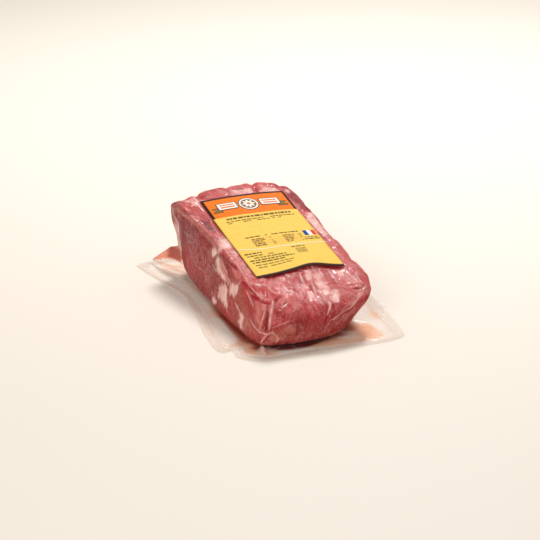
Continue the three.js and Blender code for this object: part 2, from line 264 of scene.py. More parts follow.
class Skin:
    """The block's bare skin as a grid of points, with what the relief and the colours are made from."""

    def __init__(self, under_rows=0):
        turns = spaced_turns(AROUND)
        heights, top_rows = skin_heights(turns, under_rows)
        self.points = skin_point(turns[None, :], heights)
        self.square = rounded_outline(turns)
        lengths = lengths_down(self.points)
        self.shoulder_row = len(heights) - top_rows - 1
        self.past = lengths - lengths[self.shoulder_row]
        self.normals = grid_normals(self.points)
        self.weights = side_weights(self.normals)
        self.beside_label = past_label(self.points[..., 0], self.points[..., 1])
        self.from_fin = plan_distance(self.square, FAR_LEFT)
        self.grain = self.unrolled(tilt=0.18, stretch=0.17)
        self.weave = self.unrolled(tilt=0.35, stretch=0.8)
        drift = noise(self.points, 22, seed=20) * 7 + noise(self.points, 8, seed=24) * 2
        self.flow = self.unrolled(tilt=0.3, stretch=0.3) + drift[..., None]

    def unrolled(self, tilt, stretch):
        """Places for patterns, slanted along the shoulder and stretched up the block."""
        ring = self.points[self.shoulder_row, :, :2]
        closed = np.vstack([ring, ring[:1]])
        reached = np.concatenate([[0], np.cumsum(np.linalg.norm(np.diff(closed, axis=0), axis=1))])
        wanted = (reached[:-1] + tilt * self.past) % reached[-1]
        plan = [np.interp(wanted, reached, closed[:, part]) for part in (0, 1)]
        return np.stack([*plan, self.past * stretch], -1)


def grid_normals(points):
    """Outward normals of a grid whose columns run round anticlockwise and whose rows run up."""
    round_step = np.roll(points, -1, 1) - np.roll(points, 1, 1)
    up_step = np.gradient(points, axis=0)
    normals = np.cross(round_step, up_step)
    return normals / np.maximum(np.linalg.norm(normals, axis=-1, keepdims=True), SLIGHT)


# Noise

# Large odd factors that scatter whole numbers
SCATTER = (374761393, 668265263, 2147483647)
SCATTER_SEED = 144665
SCATTER_AGAIN = 1274126177
LOW_BITS = 0xFFFFF


def corner_values(cells, seed):
    """Steady random values from -1 to 1 for whole numbers in three directions."""
    mixed = sum(cells[..., part] * SCATTER[part] for part in range(3)) + seed * SCATTER_SEED
    mixed = (mixed ^ (mixed >> 13)) * SCATTER_AGAIN
    mixed = mixed ^ (mixed >> 16)
    return (mixed & LOW_BITS) / (LOW_BITS >> 1) - 1


def noise(places, size, seed=0):
    """Smooth noise from -1 to 1 whose bumps are about size across."""
    scaled = places / size
    cells = np.floor(scaled).astype(np.int64)
    part = scaled - cells
    part = part * part * part * (part * (part * 6 - 15) + 10)
    total = 0
    for corner in np.ndindex(2, 2, 2):
        share = np.prod([part[..., i] if corner[i] else 1 - part[..., i] for i in range(3)], axis=0)
        total = total + share * corner_values(cells + np.array(corner), seed)
    return total


def rough_noise(places, size, seed=0, octaves=3):
    """Noise with finer and weaker noise added to it."""
    total = sum(noise(places, size / 2 ** k, seed + k * 17) * 0.5 ** k for k in range(octaves))
    return total / (2 - 0.5 ** (octaves - 1))


def ridges(places, size, width, seed):
    """Thin lines, 1 at their crests, along the zeros of a noise."""
    return bell(noise(places, size, seed), width)


def stretches(line):
    """Each stretch of a line as its start and its run."""
    for start, end in zip(line[:-1], line[1:]):
        start = np.array(start, float)
        yield start, np.array(end, float) - start


def line_distance(points, line):
    """The distance from points to a line through the given places."""
    nearest = np.full(points.shape[:-1], np.inf)
    for start, run in stretches(line):
        share = clamp(((points - start) @ run) / (run @ run))
        nearest = np.minimum(nearest, np.linalg.norm(points - start - share[..., None] * run, axis=-1))
    return nearest


def on_line(skin, line, width, power=2):
    """1 on a line over the skin and less beside it; its places may lie a little off, its ends are thin."""
    nearest = np.full(skin.past.shape, np.inf)
    reached = np.zeros(skin.past.shape)
    length = 0.0
    for start, run in stretches(line):
        share = clamp(((skin.points - start) @ run) / (run @ run))
        offset = skin.points - start - share[..., None] * run
        above = np.sum(offset * skin.normals, -1)
        beside = np.linalg.norm(offset - above[..., None] * skin.normals, axis=-1)
        closer = (np.abs(above) < OFF_SKIN) & (beside < nearest)
        nearest = np.where(closer, beside, nearest)
        reached = np.where(closer, length + share * np.linalg.norm(run), reached)
        length += np.linalg.norm(run)
    to_end = np.minimum(reached, length - reached)
    return bell(nearest, width * mix(THIN_END, 1.0, rise(to_end, 0, TAPER)), power)


# Relief of the film where it folds over the meat, as the solid has it
EDGE_FOLD = {
    "height": 2.6, "width": 3.2, "from": 0.8, "fade": 0.15, "clear_of_fin": 6,
    "near_share": 0.35, "weak_below": -75, "full_above": -45,
}
FIN = {"reach": 8, "waist": 4, "width": 2.2, "level": 44, "fade": 12, "top": 73, "fade_top": 4, "gap": 0.3}
FIN_TOWARDS = (-0.46, 0.888)
CORNER_BULGE = {"reach": 6.5, "width": 6, "level": 50, "fade": 9}
WEB = {"from": (-62, 105.5), "to": (-76, 132.5), "height": 23, "fade": 4, "width": 3}
CORNER_FOLDS = {"height": 1.6, "width": 1.8, "places": (2.5, 9), "rise": 10, "fade": 12}
SHOULDER_CREASE = {
    "depth": 2.4, "width": 3.5, "from": (-48, -84), "to": (-27, -116), "overrun": 0.4, "above": 20,
}
LABEL_HUMP = {"height": 5.2, "at": (13.5, -66), "radius": (20, 16)}
SWELL = {"height": 0.9, "along": 9, "across": 17, "up": 13, "skew": 23, "start": 0.6}
SWELL_RISE = 25
CLEAR_OF_LABEL = 10
RELIEF_RISE = 6
HIGHEST = 76.1

# The meat lies a little inside the film and follows these shares of its relief
MEAT_INSET = 0.6
MEAT_FOLLOWS = {"shoulder_crease": 0.8, "edge_fold": 0.7, "corner_folds": 0.3, "creases": 0.6}
LUMPS = {"coarse": (24, 0.9), "fibrous": (9, 0.35), "fine": (6, 0.25)}
FINE_LUMPS_FADE = (60, 80)

# Lines placed on the skin: how far off it their places may lie, and how they end
OFF_SKIN = 5
THIN_END = 0.45
TAPER = 4

# How taut the film is on the sides where it lies closely
TAUT_SHARES = {"left": 0.6, "right": 0.4, "far": 0.4}

# The film's creases: the size and height of facets, and the size, width and height of ridges
FACETS = {"large": (9, 1.2), "small": (4.2, 0.6)}
RIDGES = {"large": (6.5, 0.14, 0.4), "small": (4.2, 0.2, 0.25)}

# How sharply folds stand out, and how far their milky colour and painted glint colour spread
FOLD_POWER = 3
FOLD_SPREAD = 5

# Folds of the film at places of their own: each has its look, height, width and milkiness, and its line. The
# milkiness is partly the doubled film's own and partly painted highlight: white on the pearl folds and
# pinkish white on the blush ones, where glints on the wrinkles are laid in
FILM_FOLDS = [
    ("salmon", 0.7, 1.9, 0.8, [(-61, 100, 65), (-58, 92, 65), (-59, 73, 65), (-55, 50, 65), (-51, -6, 56)]),
    ("salmon", 0.4, 1.6, 0.55, [(-59, 98, 66), (-58, 81, 68), (-49, 65, 67)]),
    ("salmon", 0.4, 1.4, 0.55, [(-50, 62, 67), (-53, 41, 64), (-52, 30, 62)]),
    ("pearl", 0.6, 1.0, 0.6, [(-43, 85, 71), (-50, 89, 70)]),
    ("pearl", 0.6, 0.9, 0.6, [(-43, 84, 71), (-50, 77, 69)]),
    ("pearl", 0.7, 1.1, 0.8, [(-43, 80, 70), (-42, 63, 68)]),
    ("pearl", 0.6, 1.2, 0.7, [(-42, 84, 71), (-40, 102, 72)]),
    ("pearl", 0.5, 1.1, 0.55, [(-41, 87, 71), (-27, 83, 72)]),
    ("pearl", 0.5, 1.8, 0.9, [(-43, 84, 71), (-41, 86, 71)]),
    ("pearl", 0.4, 0.9, 0.7, [(-42, 57, 67), (-42, 56, 67)]),
    ("blush", 1.3, 0.9, 0.75, [(-47, -51, 51), (-48, -81, 46), (-47, -86, 44), (-45, -100, 42),
        (-43, -106, 42), (-39, -110, 43)]),
    ("blush", 0.5, 0.8, 0.35, [(-49, -77, 44), (-49, -83, 41), (-48, -89, 41)]),
    ("blush", 0.9, 1.0, 0.75, [(-50, -77, 41), (-50, -98, 32)]),
    ("blush", 1.0, 0.8, 0.75, [(-44, -112, 39), (-47, -116, 31), (-51, -115, 17)]),
    ("blush", 1.3, 1.2, 0.85, [(-37, -111, 42), (-42, -120, 35), (-45, -122, 19)]),
    ("blush", 0.5, 0.7, 0.5, [(-42, -113, 40), (-44, -119, 34)]),
    ("blush", 1.0, 0.9, 0.8, [(-53, -98, 21), (-51, -116, 16), (-50, -120, 17), (-48, -122, 16),
        (-46, -122, 16), (-43, -125, 18), (-38, -126, 12), (-40, -126, 9)]),
    ("blush", 0.9, 0.9, 0.7, [(-51, -117, 5), (-50, -122, 12), (-46, -122, 16)]),
    ("salmon", 0.6, 1.0, 0.5, [(-51, -120, 7), (-44, -125, 9), (-40, -126, 11)]),
    ("rose", 0.5, 0.7, 0.6, [(-43, -124, 22), (-26, -125, 27)]),
    ("pearl", 0.5, 0.7, 0.85, [(-37, -121, 36), (-34, -120, 35)]),
    ("pearl", 0.7, 0.7, 0.95, [(-32, -118, 36), (-25, -113, 38)]),
    ("pearl", 0.8, 2.0, 0.7, [(-43, -82, 47), (-35, -88, 46)]),
    ("pearl", 0.7, 1.4, 0.65, [(-35, -97, 44), (-31, -101, 43)]),
    ("pearl", 0.5, 0.7, 0.55, [(-38, -93, 44), (-41, -102, 42)]),
    ("pearl", 0.5, 0.8, 0.4, [(-36, -92, 45), (-37, -102, 42)]),
    ("pearl", 0.4, 0.7, 0.4, [(-42, -90, 44), (-44, -102, 43)]),
    ("pearl", 0.4, 0.7, 0.4, [(-45, -92, 44), (-45, -101, 42)]),
    ("pearl", 0.8, 1.6, 0.75, [(-13, -76, 49), (-10, -82, 48)]),
    ("pearl", 0.6, 1.0, 0.6, [(-8, -76, 50), (-5, -75, 51), (-4, -79, 49)]),
    ("blush", 0.9, 1.1, 0.5, [(-30, -82, 47), (-25, -85, 47), (-19, -84, 47), (-14, -86, 47),
        (-12, -89, 46), (-8, -90, 45), (-5, -99, 42), (-6, -106, 40)]),
    ("pearl", 0.8, 1.5, 0.7, [(-20, -92, 45), (-21, -95, 45), (-20, -99, 43), (-17, -100, 43),
        (-15, -97, 44)]),
    ("pearl", 0.5, 0.7, 0.5, [(-24, -95, 45), (-24, -99, 44)]),
    ("blush", 0.5, 0.7, 0.4, [(-18, -93, 45), (-13, -92, 45), (-10, -94, 44), (-9, -98, 43)]),
    ("pearl", 0.9, 1.3, 0.75, [(-1, -79, 49), (-1, -91, 44)]),
    ("pearl", 0.4, 0.8, 0.4, [(-22, -77, 48), (-21, -76, 49)]),
    ("blush", 0.6, 1.0, 0.4, [(-32, -92, 45), (-29, -95, 45), (-26, -101, 43)]),
    ("pearl", 0.8, 1.0, 0.6, [(6, -90, 45), (5, -104, 40)]),
    ("pearl", 0.5, 1.0, 0.55, [(0, -100, 41), (1, -108, 39)]),
    ("pearl", 0.6, 1.1, 0.5, [(27, -77, 50), (28, -95, 44)]),
    ("pearl", 0.4, 1.0, 0.5, [(28, -94, 44), (29, -95, 44)]),
    ("blush", 0.5, 0.8, 0.4, [(29, -96, 43), (41, -97, 43), (46, -94, 43)]),
    ("blush", 0.5, 0.8, 0.5, [(31, -100, 41), (34, -102, 41), (48, -102, 40)]),
    ("blush", 0.6, 0.8, 0.5, [(46, -90, 44), (47, -102, 40)]),
    ("rose", 1.2, 1.0, 0.75, [(51, -106, 37), (46, -110, 36), (31, -119, 29), (25, -122, 28),
        (10, -125, 22)]),
    ("rose", 0.7, 0.9, 0.55, [(47, -104, 39), (41, -114, 33)]),
    ("rose", 0.6, 0.8, 0.4, [(10, -125, 22), (1, -127, 11)]),
    ("blush", 0.5, 1.0, 0.5, [(38, -107, 38), (31, -112, 35)]),
    ("pearl", 1.0, 0.9, 0.8, [(13, -118, 34), (7, -125, 27)]),
    ("pearl", 0.6, 0.7, 0.6, [(13, -119, 33), (11, -121, 32)]),
    ("pearl", 0.5, 0.9, 0.55, [(4, -115, 36), (6, -118, 34)]),
    ("blush", 0.4, 0.8, 0.5, [(32, -100, 41), (33, -102, 41), (35, -102, 41)]),
    ("pearl", 0.5, 0.8, 0.45, [(38, -78, 48), (39, -81, 47), (38, -85, 47)]),
    ("pearl", 0.5, 0.8, 0.4, [(8, -101, 41), (9, -108, 38)]),
    ("rose", 0.6, 0.9, 0.4, [(-55, -36, 30), (-54, -43, 29), (-55, -48, 26)]),
    ("salmon", 0.5, 1.0, 0.3, [(-50, 50, 65), (-45, 48, 65), (-41, 44, 65)]),
    ("salmon", 0.5, 1.0, 0.3, [(-48, 16, 60), (-46, 14, 61), (-42, 12, 60)]),
    ("pearl", 0.6, 1.3, 0.25, [(6, -78, 51), (6, -93, 44)]),
    ("pearl", 0.6, 1.4, 0.25, [(17, -80, 50), (19, -94, 44)]),
    ("pearl", 0.5, 1.0, 0.25, [(44, -77, 48), (43, -88, 45), (46, -97, 42)]),
    ("blush", 0.6, 1.0, 0.25, [(-39, -87, 46), (-31, -85, 47), (-14, -84, 47)]),
    ("blush", 0.8, 1.6, 0.3, [(-36, -90, 45), (-33, -100, 43)]),
    ("pearl", 0.7, 1.8, 0.7, [(-44, -19, 56), (-41, -19, 55), (-40, -23, 55)]),
    ("blush", 0.6, 0.9, 0.5, [(-48, -30, 54), (-42, -28, 54), (-40, -32, 54)]),
    ("blush", 0.6, 1.0, 0.5, [(-48, -34, 53), (-47, -41, 52), (-43, -41, 52), (-41, -44, 52)]),
    ("blush", 0.5, 0.9, 0.4, [(-45, -49, 51), (-42, -50, 51), (-42, -55, 50)]),
    ("blush", 0.5, 0.9, 0.4, [(-44, -59, 50), (-40, -70, 48)]),
    ("blush", 0.5, 0.8, 0.5, [(-42, 45, 65), (-43, 21, 61)]),
    ("blush", 0.5, 0.9, 0.4, [(-47, -3, 58), (-48, -28, 55)]),
    ("blush", 0.4, 0.9, 0.4, [(-47, -74, 49), (-46, -80, 48), (-43, -79, 47)]),
    ("blush", 0.5, 0.7, 0.45, [(-35, -87, 46), (-26, -90, 46)]),
    ("blush", 0.5, 0.7, 0.45, [(-33, -85, 47), (-22, -89, 46)]),
    ("blush", 0.5, 0.7, 0.45, [(-29, -79, 48), (-24, -81, 48), (-17, -80, 48)]),
    ("blush", 0.5, 0.7, 0.4, [(44, -74, 49), (41, -88, 45)]),
    ("blush", 0.4, 0.7, 0.4, [(46, -82, 46), (50, -85, 45)]),
    ("blush", 0.5, 0.7, 0.4, [(34, -64, 52), (35, -71, 51)]),
    ("blush", 0.5, 0.7, 0.35, [(33, -90, 45), (36, -93, 44), (41, -94, 44)]),
    ("blush", 0.5, 0.8, 0.35, [(20, -79, 51), (23, -90, 46)]),
    ("blush", 0.8, 0.9, 0.65, [(33, -99, 42), (49, -97, 42)]),
    ("blush", 0.7, 0.9, 0.6, [(51, -82, 46), (49, -91, 44), (50, -100, 41)]),
    ("blush", 0.9, 1.0, 0.7, [(54, -101, 40), (32, -118, 30)]),
    ("blush", 0.6, 0.8, 0.45, [(36, -103, 40), (40, -106, 39), (46, -106, 39)]),
    ("pearl", 0.5, 0.8, 0.45, [(40, -86, 46), (40, -94, 44), (43, -97, 43)]),
    ("rose", 0.8, 0.9, 0.6, [(41, -111, 36), (21, -123, 28), (16, -124, 21)]),
    ("blush", 0.5, 0.7, 0.4, [(48, -106, 38), (35, -117, 31)]),
]

# Faint folds on the left side, which branch like veins
VEINS = [
    [(-58, 58, 55), (-59, 62, 48), (-59, 57, 44), (-59, 47, 45), (-58, 41, 51), (-56, 38, 57)],
    [(-57, 52, 62), (-57, 46, 58), (-58, 41, 51)],
    [(-59, 60, 48), (-59, 56, 39), (-59, 46, 35), (-59, 40, 29)],
    [(-58, 41, 51), (-60, 46, 33), (-59, 32, 31), (-56, 16, 36)],
    [(-56, 28, 49), (-55, 18, 47), (-53, 6, 48)],
    [(-56, 35, 54), (-56, 32, 50), (-58, 37, 42)],
    [(-59, 43, 31), (-59, 31, 27), (-58, 9, 28)],
    [(-56, 14, 36), (-56, -13, 36)],
    [(-59, 72, 48), (-59, 49, 50)],
    [(-57, 30, 43), (-58, 33, 37), (-58, 30, 32)],
]
FILM_FOLDS += [("vein", 0.4, 0.8, 0.45, line) for line in VEINS]

# Lines of grooves, which are both hollows and dark red lines that are partly painted shade
GROOVES = {
    "label_edge": [(-30, -72, 50), (14, -73, 52), (42, -72, 49)],
    "corner": [(-50, -65, 45), (-47, -91, 42)],
    "gash": [(-49, -86, 39), (-45, -105, 40), (-42, -110, 41), (-38, -112, 41)],
    "end_left": [(10, -123, 30), (7, -126, 24), (5, -126, 19)],
    "end_right": [(33, -118, 29), (26, -122, 27), (16, -125, 23)],
    "hook": [(-17, -95, 44), (-11, -97, 43), (-10, -100, 42)],
    "nick": [(-18, -91, 46), (-11, -92, 44)],
    "slit": [(4, -92, 44), (4, -99, 41)],
    "right_corner": [(41, -104, 40), (47, -105, 39)],
}

# Hollows that both the meat and the film over it have: each has its depth and width, and its line
HOLLOWS = [
    (2.2, 3.2, [(-34, 90, 72), (-36, 107, 72), (-36, 110, 64)]),
    (1.3, 3.0, [(-4, 94, 75), (-4, 110, 75), (-4, 114, 66)]),
    (2.6, 3.4, [(20, 92, 75), (22, 110, 76), (22, 116, 68)]),
    (1.6, 3.4, [(44, 90, 72), (46, 100, 73), (48, 106, 72), (50, 111, 66)]),
    (0.9, 2.5, [(-56, 52, 62), (-54, 20, 54), (-51, -33, 48)]),
    (1.2, 3.0, GROOVES["label_edge"]),
    (0.8, 4.0, [(56, 48, 64), (66, 46, 58)]),
    (1.0, 5.0, [(54, -8, 57), (70, -10, 50)]),
    (0.9, 5.0, [(56, -50, 50), (72, -54, 44)]),
    (1.8, 1.5, GROOVES["corner"]),
    (2.4, 1.8, GROOVES["gash"]),
    (1.6, 1.5, [(-42, -112, 40), (-45, -117, 37), (-46, -119, 33), (-49, -121, 19)]),
    (1.5, 1.2, GROOVES["end_left"]),
    (1.2, 1.2, GROOVES["end_right"]),
    (0.8, 0.8, GROOVES["hook"]),
    (0.6, 0.6, GROOVES["nick"]),
    (0.8, 0.8, GROOVES["slit"]),
    (1.0, 1.5, GROOVES["right_corner"]),
    (1.0, 1.5, [(-36, -112, 40), (-33, -106, 40), (-30, -105, 41)]),
]


def hollow_depth(skin):
    depth = np.zeros(skin.past.shape)
    for deep, wide, line in HOLLOWS:
        depth = np.maximum(depth, deep * on_line(skin, line, wide))
    return depth


def edge_fold(skin):
    """The ridge of doubled film along the left shoulder, weaker towards the near corner."""
    on_left = clamp((-skin.square[0] - EDGE_FOLD["from"]) / EDGE_FOLD["fade"])
    clear = 1 - bell(skin.from_fin, EDGE_FOLD["clear_of_fin"])
    going = rise(skin.points[..., 1], EDGE_FOLD["weak_below"], EDGE_FOLD["full_above"])
    height = EDGE_FOLD["height"] * mix(EDGE_FOLD["near_share"], 1.0, going)
    return height * (on_left * clear)[None, :] * bell(skin.past, EDGE_FOLD["width"])


def corner_folds(skin):
    """The upright ridges on the front beside the near left corner."""
    a, b = skin.square
    along_front = (a - NEAR_LEFT[0]) * BLOCK_HALF[0]
    ridge = sum(bell(along_front - place, CORNER_FOLDS["width"]) for place in CORNER_FOLDS["places"])
    ridge = np.where((b <= NEAR_LEFT[1] / 2) & (a <= 0), ridge, 0)
    up = clamp(skin.points[..., 2] / CORNER_FOLDS["rise"]) * clamp(1 - skin.past / CORNER_FOLDS["fade"])
    return CORNER_FOLDS["height"] * ridge[None, :] * up


def shoulder_crease(points):
    """The depth of the crease that runs in from the near left corner."""
    start = np.array(SHOULDER_CREASE["from"], float)
    run = np.array(SHOULDER_CREASE["to"], float) - start
    offset = points[..., :2] - start
    share = (offset @ run) / (run @ run)
    off = np.linalg.norm(offset - share[..., None] * run, axis=-1)
    inside = clamp(1 + SHOULDER_CREASE["overrun"] - np.abs(share - 0.5) * 2)
    depth = SHOULDER_CREASE["depth"] * inside * bell(off, SHOULDER_CREASE["width"])
    return np.where(points[..., 2] > SHOULDER_CREASE["above"], depth, 0)


def swell(skin):
    """The meat's own slow swelling, which leaves the label's bed and the foot alone."""
    x, y, z = np.moveaxis(skin.points, -1, 0)
    clear = clamp(skin.beside_label / CLEAR_OF_LABEL)
    waves = np.sin(y / SWELL["along"] + x / SWELL["across"])
    waves = waves * np.sin(z / SWELL["up"] + x / SWELL["skew"] + SWELL["start"])
    return SWELL["height"] * waves * clear * clamp(z / SWELL_RISE)


def hump_height(x, y):
    """The hump below the label's near edge."""
    x_off = (x - LABEL_HUMP["at"][0]) / LABEL_HUMP["radius"][0]
    y_off = (y - LABEL_HUMP["at"][1]) / LABEL_HUMP["radius"][1]
    return LABEL_HUMP["height"] * bell(np.hypot(x_off, y_off), 1)


def top_height(x, y):
    """The height of the block's top above places of the plan."""
    a, b = np.zeros_like(x), np.zeros_like(y)
    point = block_point(a, b, np.ones_like(a))
    for _ in range(SEARCH_STEPS):
        a = clamp(a + (x - point[..., 0]) / BLOCK_HALF[0], -RIM, RIM)
        b = clamp(b + (y - point[..., 1]) / BLOCK_HALF[1], -RIM, RIM)
        corner = corner_power(a, b)
        out = np.minimum((np.abs(a) ** corner + np.abs(b) ** corner) ** (1 / corner), RIM)
        power = over_sides(SHOULDER_POWER, a, b)
        point = block_point(a, b, (1 - out ** power) ** (1 / power))
    return point[..., 2] + hump_height(x, y)


def lumps(skin):
    """The meat's uneven bulges, over the sides and the top's borders."""
    points = skin.points
    (coarse, high), (fibrous, raised), (fine, low) = LUMPS.values()
    clear = clamp(skin.beside_label / CLEAR_OF_LABEL)
    height = rough_noise(points, coarse, seed=3) * high + noise(skin.grain, fibrous, seed=8) * raised
    bare = clear * (1 - rise(-points[..., 1], *FINE_LUMPS_FADE)) * rise(skin.past, -8, 0)
    height = height + noise(points, fine, seed=9) * low * bare
    return height * clear * clamp(points[..., 2] / SWELL_RISE)


def corner_bulge(skin):
    """How far the upper part of the far left corner reaches into the fin."""
    z = skin.points[..., 2]
    up = rise(z, CORNER_BULGE["level"], CORNER_BULGE["level"] + CORNER_BULGE["fade"])
    return CORNER_BULGE["reach"] * up * bell(skin.from_fin, CORNER_BULGE["width"]) * rise(-skin.past, -6, 4)


def meat_places(skin):
    """The meat's surface: the skin with its bulges, a little inside the film."""
    height = swell(skin) + lumps(skin)
    height = height - shoulder_crease(skin.points) * MEAT_FOLLOWS["shoulder_crease"] - MEAT_INSET
    height = height - hollow_depth(skin)
    height = height + edge_fold(skin) * MEAT_FOLLOWS["edge_fold"]
    height = height + corner_folds(skin) * MEAT_FOLLOWS["corner_folds"]
    height = height + film_creases(skin) * MEAT_FOLLOWS["creases"]
    height = np.where(skin.points[..., 2] > 1, height, -MEAT_INSET)
    places = skin.points + skin.normals * height[..., None]
    places[..., :2] += corner_bulge(skin)[..., None] * np.array(FIN_TOWARDS)
    places[..., 2] += np.where(skin.past > 0, hump_height(skin.points[..., 0], skin.points[..., 1]), 0)
    places[..., 2] = np.maximum(places[..., 2], MEAT_INSET)
    return places


def film_creases(skin):
    """The height of the film's creases over the meat: facets that meet in sharp lines, and thin ridges."""
    points = skin.points
    clear = rise(skin.beside_label, 0, 9)
    near_end = rise(-points[..., 1], 40, 90)
    high_up = rise(points[..., 2], 25, 38)
    bunched = mix(0.25, 1.0, near_end) * mix(0.5, 1.0, high_up)
    (large, high), (small, low) = FACETS.values()
    facets = np.abs(noise(skin.flow, large, seed=22)) * high + np.abs(noise(skin.flow, small, seed=23)) * low
    facets = facets * (1 - 0.5 * skin.weights["front"])
    facets = facets - pleats(points, skin.weights) * PLEATS["depth"]
    (large, wide, high), (small, thin, low) = RIDGES.values()
    fine = ridges(skin.flow, large, wide, seed=21) * high
    fine = fine + ridges(skin.flow + 40, small, thin, seed=33) * low
    patchy = rise(noise(points, 20, seed=5), -0.5, 0.3)
    taut = 1 - 0.85 * bell(skin.from_fin, 16)
    return (facets + fine * patchy) * bunched * clear * taut


def slackness(skin):
    """How loosely the film lies: taut on the left side, slack on the front and the top."""
    slack = 1.0
    for side, share in TAUT_SHARES.items():
        slack = slack - share * skin.weights[side]
    slack = slack * mix(1.0, 0.35, rise(skin.points[..., 1], -50, 20))
    return slack * mix(1.0, rise(skin.beside_label, 1, 7), rise(skin.past, -4, 2))


def streakiness(skin):
    """How strongly the painted highlight streaks show in the film: most on the near part of the top."""
    x, y, _ = np.moveaxis(skin.points, -1, 0)
    level = rise(skin.normals[..., 2], 0.2, 0.95) * rise(skin.beside_label, 0.5, 3)
    return level * mix(0.28, 0.55, rise(-y, -10, 30)) * mix(1.0, 0.6, rise(x, 20, 50))


def placed_folds(skin):
    """The height of the film's larger folds, how hazy they are and their whitish colour, which is partly
    painted highlight.
    """
    height, haze = np.zeros(skin.past.shape), np.zeros(skin.past.shape)
    milk = np.broadcast_to(np.array(MILK_AND_GLINT_COLOURS["blush"]), skin.points.shape)
    uneven = 0.8 + 0.35 * noise(skin.points, 3.5, seed=25)
    for look, high, wide, milky, line in FILM_FOLDS:
        shape = on_line(skin, line, wide, FOLD_POWER) * uneven
        height = np.maximum(height, high * shape)
        haze = np.maximum(haze, milky * shape)
        milk = blend_colour(milk, MILK_AND_GLINT_COLOURS[look], shape * FOLD_SPREAD)
    return height, haze, milk


def fin_reach(skin):
    """How far the film stands out at the far left corner, where its fin is drawn in at the waist."""
    z = skin.points[..., 2]
    fin = mix(FIN["waist"], FIN["reach"], clamp((z - FIN["level"]) / FIN["fade"] + 0.5))
    fin = fin * clamp((FIN["top"] - z) / FIN["fade_top"]) * bell(skin.from_fin, FIN["width"])
    bulge = corner_bulge(skin)
    over_bulge = bulge + FIN["gap"] * (bulge > FIN["gap"])
    return np.maximum(fin * rise(-skin.past, -1.5, 1.5), over_bulge)


def film_places(skin):
    """The film's surface over the meat, with its folds, its fin and its web."""
    x, y, z = np.moveaxis(skin.points, -1, 0)
    height = swell(skin) + lumps(skin) - shoulder_crease(skin.points) - hollow_depth(skin)
    height = height + edge_fold(skin) + corner_folds(skin) + film_creases(skin) + placed_folds(skin)[0]
    height = height * clamp(z / RELIEF_RISE)
    fin = fin_reach(skin)
    plan = np.stack([x + fin * FIN_TOWARDS[0], y + fin * FIN_TOWARDS[1]], -1)
    line = mix(np.array(WEB["to"]), np.array(WEB["from"]), (z / WEB["height"])[..., None])
    pull = bell(skin.from_fin, WEB["width"]) * clamp((WEB["height"] + WEB["fade"] - z) / WEB["fade"])
    plan = mix(plan, line, pull[..., None])
    z = z + np.where(skin.past > 0, hump_height(x, y), 0)
    places = np.concatenate([plan, z[..., None]], -1) + skin.normals * height[..., None]
    places[..., 2] = np.minimum(places[..., 2], HIGHEST)
    return places


# Meshes

def make_mesh(name, vertices, faces):
    """A smooth mesh object from places in millimetres and lists of corner numbers."""
    mesh = bpy.data.meshes.new(name)
    mesh.from_pydata((vertices * MM).tolist(), [], faces)
    mesh.polygons.foreach_set("use_smooth", [True] * len(mesh.polygons))
    obj = bpy.data.objects.new(name, mesh)
    bpy.context.scene.collection.objects.link(obj)
    return obj


# What a vertex attribute's numbers are called, by its kind
ATTRIBUTE_KEYS = {"FLOAT": "value", "FLOAT_VECTOR": "vector", "FLOAT_COLOR": "color"}


def set_attribute(obj, name, values, kind, poles):
    """A value for each vertex, from a grid of them, for the material to read."""
    layer = obj.data.attributes.new(name, kind, "POINT")
    values = np.asarray(pole_values(values, poles), np.float32)
    if kind == "FLOAT_COLOR":
        values = np.concatenate([values, np.ones((*values.shape[:-1], 1), np.float32)], -1)
    layer.data.foreach_set(ATTRIBUTE_KEYS[kind], values.ravel())


def set_attributes(obj, kind, poles, **grids):
    for name, values in grids.items():
        set_attribute(obj, name, values, kind, poles)


def ring_faces(rows, around):
    """Quads between the rows of a closed ring of columns, row by row."""
    row, column = np.meshgrid(np.arange(rows - 1), np.arange(around), indexing="ij")
    here = row * around + column
    following = row * around + (column + 1) % around
    return np.stack([here, following, following + around, here + around], -1).reshape(-1, 4).tolist()


def fan_faces(ring, pole, upwards):
    """Triangles from a ring of corner numbers to a pole."""
    following = np.roll(ring, -1)
    order = [ring, following] if upwards else [following, ring]
    return np.stack([*order, np.full_like(ring, pole)], -1).tolist()


def ring_mesh(name, places, low_pole=None, high_pole=None):
    """A mesh from rows of points round the block, closed by a pole where one is given."""
    rows, around = places.shape[:2]
    vertices = places.reshape(-1, 3)
    faces = ring_faces(rows, around)
    if low_pole is not None:
        faces += fan_faces(np.arange(around), len(vertices), False)
        vertices = np.vstack([vertices, low_pole])
    if high_pole is not None:
        faces += fan_faces(np.arange(around) + (rows - 1) * around, len(vertices), True)
        vertices = np.vstack([vertices, high_pole])
    return make_mesh(name, vertices, faces)


def pole_values(values, poles):
    """Grid values as a list, with the last row's mean for each pole."""
    flat = values.reshape(-1, *values.shape[2:])
    ends = [values[row].mean(0) for row in poles]
    return np.concatenate([flat, np.array(ends).reshape(len(poles), *values.shape[2:])]) if poles else flat


# Colours

def linear(code):
    """A colour like d08c82 as linear red, green and blue."""
    parts = [int(code[i:i + 2], 16) / 255 for i in (0, 2, 4)]
    return tuple(p / 12.92 if p <= 0.04045 else ((p + 0.055) / 1.055) ** 2.4 for p in parts)


def colours_of(**codes):
    return {name: linear(code) for name, code in codes.items()}


# The lean meat's red by the way each face points; the top's lighter, pinker red is partly painted sheen of
# the film over it
MUSCLE = colours_of(
    left="9e2826", front="a92423", top="c24846", right="a02a2a", far="a42d2b", under="9a4542",
)
FAT = linear("ffdace")
FAT_IN_SHADE = linear("ffdccb")
PALE = linear("e3958e")
PURPLE = linear("5e1c28")
BROWN = linear("a64e3c")
RED_BROWN = linear("882c20")
DEEP = linear("950810")
DARK_RED = linear("8e1018")
# clotted dark red; along the grooves and under the shoulder's ridge it is painted shade
CLOT_AND_SHADE = linear("80060e")
